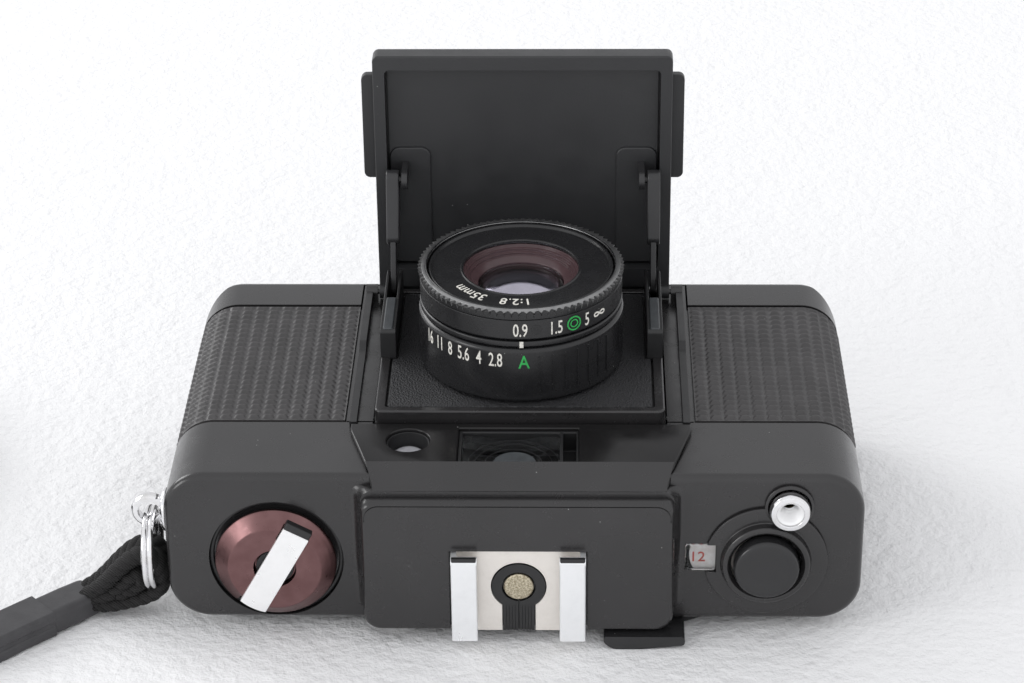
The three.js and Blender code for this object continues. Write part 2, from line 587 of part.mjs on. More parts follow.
// ---------------------------------------------------------------- back door
function backDoor() {
  const { y0, y1, lip } = BACK_DOOR;
  const outer = alongY(roundRect(BODY.left, 0, BODY.right, 30, [9, 9, 0, 0]), y0, y1, 8)
    .intersect(block(-60, 60, y0 - 1, y1 + 1, -1, lip));
  const inner = alongY(roundRect(BODY.left + 1.8, 1.7, BODY.right - 1.8, 30, [7.3, 7.3, 0, 0]),
    y0 - 1, y1 + 1, 8);
  const tray = cut(outer, inner);
  const ends = block(-48, 46, y1 - 1.2, y1, 0.8, 2.4);
  const axis = [BACK_HINGE.x, 0, BACK_HINGE.z];
  const clear = [-8, 20].map((y) => rod('y', axis, 1.5, y - 4.4, y + 4.4, 12));
  const knuckle = rod('y', axis, 1.1, -2.9, 11.2, 12)
    .add(block(BODY.right - 1.6, BACK_HINGE.x, -2.9, 11.2, 5.5, BACK_HINGE.z - 0.2));
  const hook = block(-51.4, -50.9, -2, 6, 4.0, 10.8);
  return cut(cut(join(tray, ends), ...clear).add(knuckle).add(hook),
    rod('y', axis, 0.75, -40, 40, 10),
    block(-53, -50, 0, 4, 8.4, 9.6));
}

function pressurePlate() {
  return alongZ(roundRect(-21, -15.5, 21, 15.5, 1.5), 4.2, 5.2, 3);
}

function plateSpring() {
  const bow = polygon([[-13, 2.1], [13, 2.1], [13, 2.4], [9, 2.5], [4, 3.9], [-4, 3.9],
    [-9, 2.5], [-13, 2.4]]);
  return alongY(bow, -3, 3);
}

// ---------------------------------------------------------------- strap
function strapLug() {
  const base = rod('x', [0, LUG.y, LUG.z], 3.4, BODY.left - 1.0, BODY.left - GAP, 20);
  const eye = cut(join(
    rod('y', [LUG.x, 0, LUG.z], 3.0, LUG.y - 0.9, LUG.y + 0.9, 20),
    block(LUG.x, BODY.left - 0.5, LUG.y - 0.9, LUG.y + 0.9, LUG.z - 2.4, LUG.z + 2.4)),
  rod('y', [LUG.x, 0, LUG.z], 1.75, -40, -20, 14));
  return join(base, eye);
}

// Two turns of wire side by side, touching nothing but each other.
function splitRing() {
  const wire = (offset) => {
    const torus = new THREE.TorusGeometry(6.2, 0.5, 6, 20).rotateY(Math.PI / 2);
    return solid(torus.translate(LUG.x + offset, LUG.y, 11.9));
  };
  return join(wire(-0.42), wire(0.42));
}

function braidLoop() {
  const outline = polygon([
    [-64.8, 0.5], [-57.0, 0.4], [-55.2, 2.0], [-54.7, 5.0], [-54.7, 10.2], [-57.0, 11.2],
    [-60.5, 9.6], [-64.8, 4.8],
  ]);
  outline.holes.push(new THREE.Path(
    [[-61.0, 3.0], [-57.6, 3.0], [-56.0, 4.4], [-56.0, 8.0], [-58.2, 8.3]]
      .map(([x, z]) => new THREE.Vector2(x, z))));
  return alongY(outline, LUG.y - 3.4, LUG.y + 3.4);
}

// A straight slab laid on the floor from one distance along the strap's heading to another.
function strapSlab(from, to, half, z0, z1) {
  const slab = block(from, to, -half, half, z0, z1);
  return slab.rotate([0, 0, STRAP.heading]).translate([STRAP.capX, STRAP.capY, 0]);
}

// The strap's hidden part lies on edge: its outline follows the band's route, grown a little.
function strapLoop() {
  const bight = STRAP_ROUTE.slice(3, -3).map(([x, y]) => new THREE.Vector2(x, y));
  const grow = 1.3;
  const outline = bight.map((point, i) => {
    const before = bight[Math.max(i - 1, 0)];
    const after = bight[Math.min(i + 1, bight.length - 1)];
    const along = after.clone().sub(before).normalize();
    return new THREE.Vector2(point.x - along.y * grow, point.y + along.x * grow);
  });
  return alongZ(new THREE.Shape(outline.reverse()), 0, 2 * STRAP.half);
}

// ---------------------------------------------------------------- every node
add('front_casing', frontCasing(), BLACK);
add('top_cover', topCover(), BLACK);
add('base_cover', baseCover(), BLACK);
add('grip_left', grip(-1), GRIP);
add('grip_right', grip(1), GRIP);
add('rail_left', rail(-1), BLACK);
add('rail_right', rail(1), BLACK);
add('finder_bezel', finderBezel(), BLACK);
add('finder_window', block(-9.0, 8.9, -29.9, -20.7, 26.9, 28.3), GLASS);
add('meter_window', rod('z', [-17.0, -24.1, 0], 3.0, 26.6, 28.2, 20), GLASS);
add('finder_tunnel', cut(block(-8.6, 6.8, -30.4, -21.6, 6.4, 24.6),
  block(-7.8, 6.0, -29.6, -22.4, 5, 26)), SATIN);
add('eyepiece_frame', cut(alongY(roundRect(-8.9, 1.0, 6.9, 2.4, 0.3), -31.2, -21.6),
  block(-5.2, 3.2, -29.2, -23.6, 0, 4)), SATIN);

add('hot_shoe', hotShoe(), SHOE_METAL);
add('shoe_insulator', shoeInsulator(), SATIN);
add('shoe_contact', rod('y', [0, 0, SHOE_CONTACT], 2.3, SHOE.floor - 0.95, SHOE.floor - GAP, 20),
  BRASS);

add('shutter_collar', shutterCollar(), BLACK);
add('shutter_button', shutterButton(), BLACK);
add('cable_socket', cut(
  join(rod('y', atY(RELEASE), RELEASE.r, -35.6, -33.3, 24), rod('y', atY(RELEASE), 2.0, -34, -31.8, 16)),
  turned([[0, -36.0], [2.1, -36.0], [1.3, -34.9], [1.3, -30.0], [0, -30.0]],
    'y', atY(RELEASE), 16)), CHROME);
add('counter_window', block(COUNTER.x0, COUNTER.x1, -33.2, -32.2, COUNTER.z0, COUNTER.z1), GLASS);
add('counter_dial', rod('y', [31.0, 0, 14.1], 4.3, -31.1, -30.7, 24), WHITE);
add('wind_lever', windLever(), BLACK);
add('wind_gear', gear(BUTTON, 5.2, -27.9, -26.5, 2.1, 10), BRASS);
add('spool_gear', gear(SPOOL, 5.0, -23.6, -22.4, 2.25, 10), BRASS);

add('rewind_collar', tube('y', atY(KNOB), 10.35, 9.65, -33.7, -33.3, 28), BLACK);
add('rewind_knob', rewindKnob(), MAROON);
add('rewind_crank', rewindCrank(), CHROME);
add('rewind_shaft', rewindShaft(), STEEL);
add('latch_bar', latchBar(), STEEL);

add('lens_board', lensBoard(), SATIN);
add('lens_panel', lensPanel(), GRIP);
add('lens_barrel', lensBarrel(), SATIN);
add('aperture_ring', apertureRing(), SATIN);
add('focus_ring', focusRing(), SATIN);
add('name_ring', tube('z', onLensAxis, LENS.faceR, LENS.mouthR, 46.15, LENS.faceZ, 32), SATIN);
add('inner_baffle', innerBaffle(), MAROON);
add('front_lens', frontLens(), GLASS);
add('shutter_unit', shutterUnit(), SATIN);
add('rear_lens', rod('z', onLensAxis, 7.6, 25.6, 28.6, 24), GLASS);

add('front_door', frontDoor(), DOOR_BLACK);
add('door_liner', doorLiner(), DOOR_BLACK);
add('strut_left', strut(-1), SATIN);
add('strut_right', strut(1), SATIN);

add('film_chassis', filmChassis(), ALLOY);
add('take_up_spool', takeUpSpool(), SATIN);
add('sprocket', sprocket(), STEEL);
add('back_door', backDoor(), BLACK);
add('back_door_pin', rod('y', atY(BACK_HINGE), 0.5, -12, 21, 10), STEEL);
add('pressure_plate', pressurePlate(), SATIN);
add('plate_spring', plateSpring(), STEEL);

add('tripod_bush', tube('y', atY(TRIPOD), 5.0, 3.2, 24.5, 30.3, 24), CHROME);
add('battery_cover', cut(rod('y', atY(BATTERY), 7.2, 28.4, 30.3, 28),
  block(34.5, 45.9, 29.6, 31, 14.4, 15.6)), STEEL);
add('battery_cells', rod('y', atY(BATTERY), 5.8, 20.5, 28.1, 20), STEEL);
add('rewind_release', rod('y', atY(SPROCKET), 2.2, 22.9, 30.1, 14), STEEL);

add('strap_lug', strapLug(), CHROME);
add('split_ring', splitRing(), CHROME);
add('strap_braid', braidLoop(), BRAID);
add('strap_cap', strapSlab(0, STRAP.run, STRAP.half, 0, STRAP.high), STRAP_BLACK);
add('strap_band', strapSlab(STRAP.run + GAP, 21.0, STRAP.half, 0, STRAP.high), STRAP_BLACK);
add('strap_loop', strapLoop(), STRAP_BLACK);

export default camera;
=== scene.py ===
# The looks of a compact 35 mm camera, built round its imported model: shells, lens, controls,
# grips and strap as fine meshes with procedural materials, in the model's own frame.
# Lengths here are millimetres, turned into metres when a piece is finished.
import math
from types import SimpleNamespace as Sizes

import bpy
import bmesh
from mathutils import Matrix, Vector


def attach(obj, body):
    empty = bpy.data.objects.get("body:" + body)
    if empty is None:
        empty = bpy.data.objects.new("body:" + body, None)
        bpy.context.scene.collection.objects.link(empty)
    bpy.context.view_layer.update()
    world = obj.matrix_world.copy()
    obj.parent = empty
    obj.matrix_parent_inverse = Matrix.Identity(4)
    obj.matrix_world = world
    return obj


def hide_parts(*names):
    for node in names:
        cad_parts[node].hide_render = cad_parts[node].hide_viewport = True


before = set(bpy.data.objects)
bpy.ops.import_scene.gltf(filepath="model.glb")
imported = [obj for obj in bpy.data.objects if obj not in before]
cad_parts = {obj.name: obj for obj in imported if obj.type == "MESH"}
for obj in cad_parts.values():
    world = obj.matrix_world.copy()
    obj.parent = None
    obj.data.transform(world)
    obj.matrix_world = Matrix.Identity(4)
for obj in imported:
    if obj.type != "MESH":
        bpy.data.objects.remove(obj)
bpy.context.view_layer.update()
MM = 0.001

# ------------------------------------------------------------------ driving dimensions
BODY = Sizes(left=-54.1, right=52.5, top=-33, bottom=30.4, back=2.5, front=28.4, corner=6.5)
TOP_SPLIT, BASE_SPLIT, GAP = -16.85, 21.35, 0.3
HUMP = Sizes(left=-23.9, right=23.7, top=-36.64)
WELL = Sizes(half=22.9, top=-18.8, bottom=22.3)
FRAME_HALF = 27
BOARD = Sizes(half=22.5, top=-18.5, bottom=22, low=24.6, plate=30.4, rim=31.25)
DOOR = Sizes(y=23.7, z=29.8, thick=3.5, half=24.2, low=30.2, high=72.4)
STRUT = Sizes(x=21.3, y=21.7, z=51.5, foot_y=17, foot_z=34)
KNOB, BUTTON, RELEASE = (-37.2, 13.4), (37.7, 13.6), (41, 23.3)
COUNTER = (25.5, 29.9, 11.9, 16.3)
SHOE = Sizes(half=10.25, lip=6.25, z0=2.2, z1=17, floor=-35.2, plate=-35.6, top=-38.6, contact=10.3)
LUG = (-57.1, -27.2, 18.8)
CRANK_ANGLE = 61
FINDER = (-9.3, 9.2, -30.2, -20.4)
SENSOR = (-17, -24.1)
STRAP = Sizes(width=6.8, thick=2, cap=(-67.5, -26.2), heading=223, length=0.240)

# The strap's centre line: out of the cap as the upper run, round the bight, back below it.
STRAP_ROUTE = [
    (-74.1, -32.3, 3.5), (-78.5, -36.4, 3.5), (-82.5, -40.1, 3.5),
    (-89.4, -45.6, 3.4), (-98.4, -47.6, 3.4), (-107.6, -44.8, 3.4), (-114.6, -38.2, 3.4),
    (-118, -29.6, 3.4), (-120, -18, 3.4), (-122, -5, 3.4), (-124.2, 8, 3.4),
    (-125.4, 18, 3.4), (-123.8, 26.5, 3.4), (-119, 31.3, 3.4), (-112.5, 33, 3.4),
    (-106, 31.3, 3.4), (-101.2, 26.5, 3.4), (-99.6, 18, 3.4), (-100, 8, 3.4),
    (-101.2, -5, 3.4), (-103, -17, 3.4), (-104.6, -29, 3.4), (-103.6, -36.5, 3.4),
    (-99.3, -41.6, 3.4), (-92.9, -44, 3.4), (-88, -43.4, 3.2),
    (-82.5, -40.1, 1.1), (-78.5, -36.4, 1.1), (-74.1, -32.3, 1.1),
]

# ------------------------------------------------------------------ camera and light
CAMERA = Sizes(place=(9.10, -402.72, 256.92), yaw=-0.0264, pitch=0.5067, roll=0.0114, lens=101.42)


def linked(name, data):
    """A new object in the scene that holds the data."""
    made = bpy.data.objects.new(name, data)
    bpy.context.scene.collection.objects.link(made)
    return made


def make_camera():
    yaw, pitch, roll = CAMERA.yaw, CAMERA.pitch, CAMERA.roll
    ahead = Vector((math.sin(yaw) * math.cos(pitch), math.cos(yaw) * math.cos(pitch), -math.sin(pitch)))
    level = Vector((math.cos(yaw), -math.sin(yaw), 0))
    down = ahead.cross(level)
    right = math.cos(roll) * level + math.sin(roll) * down
    up = math.sin(roll) * level - math.cos(roll) * down
    data = bpy.data.cameras.new("camera")
    data.lens, data.sensor_width = CAMERA.lens, 36
    data.clip_start, data.clip_end = 0.01, 20
    camera = linked("camera", data)
    turn = Matrix((right, up, -ahead)).transposed().to_4x4()
    camera.matrix_world = Matrix.Translation(Vector(CAMERA.place) * MM) @ turn
    bpy.context.scene.camera = camera


def area_light(name, place, size, power):
    data = bpy.data.lights.new(name, "AREA")
    data.shape, data.size, data.size_y, data.energy = "RECTANGLE", size, size, power
    light = linked(name, data)
    light.location = place
    light.rotation_euler = (-Vector(place)).to_track_quat("-Z", "Y").to_euler()


def make_light():
    world = bpy.data.worlds.new("room")
    bpy.context.scene.world = world
    world.use_nodes = True
    tree = world.node_tree
    back = tree.nodes["Background"]
    back.inputs["Color"].default_value = (0.975, 0.98, 1, 1)
    where = tree.nodes.new("ShaderNodeTexCoord")
    split = tree.nodes.new("ShaderNodeSeparateXYZ")
    fade = tree.nodes.new("ShaderNodeMapRange")
    for socket, value in zip(("From Min", "From Max", "To Min", "To Max"), (-0.8, 0.8, 1.08, 0.84)):
        fade.inputs[socket].default_value = value
    tree.links.new(where.outputs["Generated"], split.inputs[0])
    tree.links.new(split.outputs["Y"], fade.inputs["Value"])
    tree.links.new(fade.outputs["Result"], back.inputs["Strength"])
    area_light("window", (-1.7, 1.24, 1), 1.1, 17)
    area_light("side_window", (-1.9, -1, 0.84), 0.9, 11)
    bpy.context.scene.view_settings.view_transform = "Standard"


# ------------------------------------------------------------------ mesh building
def round_turn(count):
    return [2 * math.pi * s / count for s in range(count)]


def in_frame(axis, a, b, h):
    """A point of a flat outline (a, b) at distance h along the axis."""
    return {"x": (h, a, b), "y": (a, h, b), "z": (a, b, h)}[axis]


def new_piece(points, faces):
    mesh = bpy.data.meshes.new("part")
    mesh.from_pydata(points, [], faces)
    work = bmesh.new()
    work.from_mesh(mesh)
    bmesh.ops.remove_doubles(work, verts=work.verts, dist=1e-4)
    bmesh.ops.dissolve_degenerate(work, edges=work.edges, dist=1e-5)
    bmesh.ops.recalc_face_normals(work, faces=work.faces)
    work.to_mesh(mesh)
    work.free()
    return linked("part", mesh)


def loft(rings, closed=False):
    """A skin over rings of equal length, capped at both ends unless the last meets the first."""
    size = len(rings[0])
    points = [p for ring in rings for p in ring]
    faces = []
    spans = len(rings) if closed else len(rings) - 1
    for i in range(spans):
        low, high = i * size, (i + 1) % len(rings) * size
        for j in range(size):
            k = (j + 1) % size
            faces.append((low + j, low + k, high + k, high + j))
    if not closed:
        faces.append(tuple(reversed(range(size))))
        faces.append(tuple((len(rings) - 1) * size + j for j in range(size)))
    return new_piece(points, faces)


def rounded(x0, y0, x1, y1, radii, inset=0, steps=10):
    """Points of a rounded rectangle, its radii from the low-low corner anticlockwise."""
    radii = [radii] * 4 if isinstance(radii, (int, float)) else radii
    x0, y0, x1, y1 = x0 + inset, y0 + inset, x1 - inset, y1 - inset
    corners = [(x0, y0, 1, 1), (x1, y0, -1, 1), (x1, y1, -1, -1), (x0, y1, 1, -1)]
    points = []
    for i, (x, y, dx, dy) in enumerate(corners):
        r = max(radii[i] - inset, 0.02)
        for s in range(steps + 1):
            turn = math.pi * (1 + i / 2) + math.pi / 2 * s / steps
            points.append((x + dx * r + r * math.cos(turn), y + dy * r + r * math.sin(turn)))
    return points


def slab(outline, axis, low, high, edge_low=0, edge_high=0, steps=5):
    """An outline drawn along an axis, its rims rounded. outline(inset) gives its points."""
    rings = []
    if edge_low:
        for s in range(steps):
            turn = math.pi / 2 * s / steps
            rings.append((edge_low * (1 - math.sin(turn)), low + edge_low * (1 - math.cos(turn))))
    rings.append((0, low + edge_low))
    rings.append((0, high - edge_high))
    if edge_high:
        for s in range(1, steps + 1):
            turn = math.pi / 2 * s / steps
            rings.append((edge_high * (1 - math.cos(turn)), high - edge_high * (1 - math.sin(turn))))
    return loft([[in_frame(axis, a, b, h) for a, b in outline(inset)] for inset, h in rings])


def rect(x0, y0, x1, y1, radii, steps=10):
    return lambda inset=0: rounded(x0, y0, x1, y1, radii, inset, steps)


def prism(outline, axis, low, high):
    return loft([[in_frame(axis, a, b, h) for a, b in outline] for h in (low, high)])


def block(x0, x1, y0, y1, z0, z1):
    return prism([(x0, y0), (x1, y0), (x1, y1), (x0, y1)], "z", z0, z1)


def eased(profile, radius, steps=4):
    """The profile with its inner corners rounded, or all of them where it closes on itself."""
    closed = profile[0] == profile[-1]
    points = [Vector(p) for p in (profile[:-1] if closed else profile)]
    count, out = len(points), []
    for i, point in enumerate(points):
        if not closed and i in (0, count - 1):
            out.append(tuple(point))
            continue
        before, after = points[i - 1] - point, points[(i + 1) % count] - point
        reach = min(radius, before.length * 0.45, after.length * 0.45)
        start, end = point + before.normalized() * reach, point + after.normalized() * reach
        for s in range(steps + 1):
            t = s / steps
            out.append(tuple(start * (1 - t) ** 2 + point * 2 * t * (1 - t) + end * t * t))
    return out + [out[0]] if closed else out


def lathe(profile, axis="z", centre=(0, 0), steps=96, ease=0):
    """A profile of (radius, height) pairs turned about an axis through centre (two coordinates)."""
    line = eased(profile, ease) if ease else profile
    closed = line[0] == line[-1]
    line = line[:-1] if closed else line
    rings = []
    for r, h in line:
        rings.append([in_frame(axis, centre[0] + r * math.cos(t), centre[1] + r * math.sin(t), h)
                      for t in round_turn(steps)])
    return loft(rings, closed)


def rod(axis, centre, r, low, high, steps=64):
    return lathe([(0, low), (r, low), (r, high), (0, high)], axis, centre, steps)


def settled(piece):
    """Applies the piece's modifiers."""
    bpy.context.view_layer.update()
    seen = piece.evaluated_get(bpy.context.evaluated_depsgraph_get())
    mesh = bpy.data.meshes.new_from_object(seen)
    piece.modifiers.clear()
    piece.data = mesh
    return piece


def combined(piece, operation, tools):
    for tool in tools:
        change = piece.modifiers.new("cut", "BOOLEAN")
        change.operation, change.solver, change.object = operation, "EXACT", tool
    settled(piece)
    for tool in tools:
        bpy.data.objects.remove(tool)
    return piece


def carve(piece, *tools):
    return combined(piece, "DIFFERENCE", tools)


def fuse(piece, *tools):
    return combined(piece, "UNION", tools)


def gather(pieces):
    """Joins separate bodies into one object."""
    points, faces = [], []
    for piece in pieces:
        base = len(points)
        points += [tuple(piece.matrix_world @ v.co) for v in piece.data.vertices]
        faces += [tuple(base + v for v in f.vertices) for f in piece.data.polygons]
        bpy.data.objects.remove(piece)
    mesh = bpy.data.meshes.new("part")
    mesh.from_pydata(points, [], faces)
    return linked("part", mesh)


def turned(piece, angle, axis):
    piece.data.transform(Matrix.Rotation(math.radians(angle), 4, axis))
    return piece


def shift(piece, x=0, y=0, z=0):
    piece.data.transform(Matrix.Translation((x, y, z)))
    return piece


def bevel(piece, width, angle=32, segments=3):
    change = piece.modifiers.new("edges", "BEVEL")
    change.width, change.segments = width * MM, segments
    change.limit_method, change.angle_limit = "ANGLE", math.radians(angle)
    return change


def place(piece, name, look, slot, *nodes, body="camera_body", edge=0, sharp=38):
    """Turns a finished mesh into metres, shades it, and puts it on its body for the nodes it replaces."""
    piece.name = name
    piece.data.name = name
    piece.data.transform(Matrix.Scale(MM, 4))
    piece.data.polygons.foreach_set("use_smooth", [True] * len(piece.data.polygons))
    if edge:
        bevel(piece, edge).harden_normals = True
    else:
        piece.data.set_sharp_from_angle(angle=math.radians(sharp))
    weigh = piece.modifiers.new("normals", "WEIGHTED_NORMAL")
    weigh.keep_sharp = True
    piece.data.materials.clear()
    piece.data.materials.append(LOOK[look])
    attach(piece, body)
    if nodes:
        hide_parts(*nodes)
    return piece


# ------------------------------------------------------------------ materials
class Finish:
    """One procedural material: a Principled shader with nodes that vary it, in millimetres."""

    def __init__(self, name, rough, metal=0, **sockets):
        self.material = bpy.data.materials.new(name)
        self.material.use_nodes = True
        self.tree = self.material.node_tree
        self.shader = self.tree.nodes["Principled BSDF"]
        self.shader.inputs["Roughness"].default_value = rough
        self.shader.inputs["Metallic"].default_value = metal
        for socket, value in sockets.items():
            self.shader.inputs[socket.replace("_", " ").title().replace("Ior", "IOR")].default_value = value
        where = self.add("ShaderNodeTexCoord")
        scale = self.add("ShaderNodeVectorMath", operation="SCALE")
        scale.inputs["Scale"].default_value = 1 / MM
        self.link(where.outputs["Object"], scale.inputs[0])
        self.place = scale.outputs[0]

    def add(self, kind, **settings):
        made = self.tree.nodes.new(kind)
        for key, value in settings.items():
            setattr(made, key, value)
        return made

    def link(self, start, end):
        self.tree.links.new(start, end)

    def noise(self, size, detail=3, rough=0.55, stretch=(1, 1, 1)):
        """Noise with features of about that size, from 0 to 1."""
        made = self.add("ShaderNodeTexNoise")
        made.inputs["Scale"].default_value = 1 / size
        made.inputs["Detail"].default_value = detail
        made.inputs["Roughness"].default_value = rough
        if stretch == (1, 1, 1):
            self.link(self.place, made.inputs["Vector"])
        else:
            pulled = self.add("ShaderNodeVectorMath", operation="MULTIPLY")
            pulled.inputs[1].default_value = stretch
            self.link(self.place, pulled.inputs[0])
            self.link(pulled.outputs[0], made.inputs["Vector"])
        return made.outputs["Fac"]

    def between(self, value, low, high, to_low=0, to_high=1):
        made = self.add("ShaderNodeMapRange", clamp=True)
        for socket, number in zip(("From Min", "From Max", "To Min", "To Max"), (low, high, to_low, to_high)):
            made.inputs[socket].default_value = number
        self.link(value, made.inputs["Value"])
        return made.outputs["Result"]

    def sum(self, first, second, operation="ADD"):
        made = self.add("ShaderNodeMath", operation=operation)
        for socket, value in zip(made.inputs, (first, second)):
            if isinstance(value, (int, float)):
                socket.default_value = value
            else:
                self.link(value, socket)
        return made.outputs[0]

    def mix(self, share, first, second):
        """A colour between two colours or colour outputs."""
        made = self.add("ShaderNodeMix", data_type="RGBA")
        self.link(share, made.inputs["Factor"])
        for index, value in ((6, first), (7, second)):
            if isinstance(value, tuple):
                made.inputs[index].default_value = (*value, 1)
            else:
                self.link(value, made.inputs[index])
        return made.outputs[2]

    def colour(self, output):
        self.link(output, self.shader.inputs["Base Color"])
        return self

    def tones(self, size, first, second, low=0, high=1, detail=3, dust=None):
        """Blends two base colours by noise. dust adds dots: spacing, size, share of cells, colour."""
        tone = self.mix(self.between(self.noise(size, detail), low, high), first, second)
        return self.colour(self.mix(self.specks(*dust[:3]), tone, dust[3]) if dust else tone)

    def rough(self, output):
        self.link(output, self.shader.inputs["Roughness"])
        return self

    def patchy(self, size, detail, least, most, low=0.3, high=0.7):
        return self.rough(self.between(self.noise(size, detail), low, high, least, most))

    def bump(self, height, depth):
        made = self.add("ShaderNodeBump")
        made.inputs["Distance"].default_value = depth * MM
        self.link(height, made.inputs["Height"])
        self.link(made.outputs["Normal"], self.shader.inputs["Normal"])
        return self

    def grained(self, depth, size, detail=3, rough=0.55):
        return self.bump(self.noise(size, detail, rough), depth)

    def specks(self, cell, size, share):
        """Small scattered dots: 1 on a dot. cell is their spacing and share how many cells have one."""
        made = self.add("ShaderNodeTexVoronoi", feature="F1")
        made.inputs["Scale"].default_value = 1 / cell
        self.link(self.place, made.inputs["Vector"])
        split = self.add("ShaderNodeSeparateColor")
        self.link(made.outputs["Color"], split.inputs["Color"])
        dot = self.between(made.outputs["Distance"], size / cell, size / cell * 0.5)
        chosen = self.sum(split.outputs[0], share, "LESS_THAN")
        return self.sum(dot, chosen, "MULTIPLY")


BLACKS = (
    # look, material, dark, light, roughness, grain depth, share of dust, specular level, grain size
    ("body", "body_black", (0.0165, 0.0157, 0.0162), (0.0215, 0.0204, 0.0212), 0.25, 0.0025, 0.24, 0.62),
    ("door", "door_black", (0.022, 0.0225, 0.024), (0.028, 0.0285, 0.03), 0.42, 0.012, 0.24, 0.5, 0.35),
    # the bezel: the body's black paint made darker and less shiny, painted shade for the dark door its top
    # reflects
    ("bezel", "bezel_black_painted_shade", (0.008, 0.0076, 0.0078), (0.012, 0.0114, 0.0117), 0.2, 0.0025, 0.24, 0.35),
    ("satin", "satin_black", (0.013, 0.013, 0.0135), (0.018, 0.018, 0.019), 0.42, 0.006),
    ("button", "gloss_black", (0.018, 0.018, 0.019), (0.022, 0.022, 0.023), 0.22, 0.002),
    ("lens", "lens_black", (0.01, 0.01, 0.011), (0.014, 0.014, 0.015), 0.27, 0.003, 0.3),
    ("steel_black", "steel_black", (0.017, 0.017, 0.018), (0.035, 0.035, 0.037), 0.34, 0.006),
)
METALS = (
    # look, material, clean, worn, roughness, brushing's size and depth, metallic, brushing's stretch
    ("chrome", "bright_chrome", (0.84, 0.84, 0.85), (0.72, 0.71, 0.7), 0.09, 0.8, 0.001),
    ("crank", "satin_silver", (0.93, 0.93, 0.93), (0.88, 0.88, 0.88), 0.3, 2.5, 0, 0.6),
    ("shoe_rail", "shoe_silver", (0.9, 0.91, 0.92), (0.86, 0.87, 0.88), 0.3, 2.5, 0, 0.6, (1, 1, 0.15)),
    ("shoe_plate", "shoe_nickel", (0.86, 0.82, 0.77), (0.8, 0.76, 0.71), 0.34, 1.5, 0, 0.6, (0.2, 1, 1)),
    ("steel", "steel", (0.55, 0.55, 0.57), (0.4, 0.39, 0.38), 0.3, 0.3, 0.004, 1, (1, 0.2, 1)),
    # a light bare metal for the black focus ring's rim and teeth, standing in for their highlights: painted
    # highlight
    ("rim_highlight_metal", "rim_highlight_metal", (0.34, 0.34, 0.34), (0.2, 0.2, 0.205), 0.36, 0.4, 0),
    ("brass", "brass", (0.7, 0.56, 0.3), (0.45, 0.35, 0.18), 0.33, 0.4),
    ("alloy", "cast_alloy", (0.16, 0.16, 0.17), (0.1, 0.1, 0.105), 0.5, 0.5, 0.02),
)


def black_surface(name, dark, light, rough, grain, dust=0.24, shine=0.5, size=0.28):
    """Black plastic or paint: fine grain, faint clouding, a little dust."""
    finish = Finish(name, rough, specular_ior_level=shine)
    cloud = finish.noise(14, 2)
    tone = finish.mix(finish.between(cloud, 0.3, 0.7), dark, light)
    dusty = finish.specks(2.4, 0.10, dust)
    finish.colour(finish.mix(dusty, tone, (0.32, 0.32, 0.31)))
    scuff = finish.noise(3.5, 4, 0.7)
    finish.rough(finish.sum(finish.between(scuff, 0.35, 0.75, rough - 0.05, rough + 0.07),
                            finish.sum(dusty, 0.3, "MULTIPLY")))
    return finish.grained(grain, size, 2).material


def metal_surface(name, clean, worn, rough, size, depth=0.004, metal=1, stretch=(1, 1, 1)):
    """Bare or plated metal with fine brushing."""
    finish = Finish(name, rough, metal)
    lines = finish.noise(size, 3, 0.6, stretch)
    spots = finish.noise(2.2, 4, 0.7)
    finish.colour(finish.mix(finish.between(spots, 0.45, 0.75), clean, worn))
    finish.rough(finish.between(lines, 0.3, 0.7, rough * 0.9, rough * 1.1))
    return (finish.bump(lines, depth) if depth else finish).material


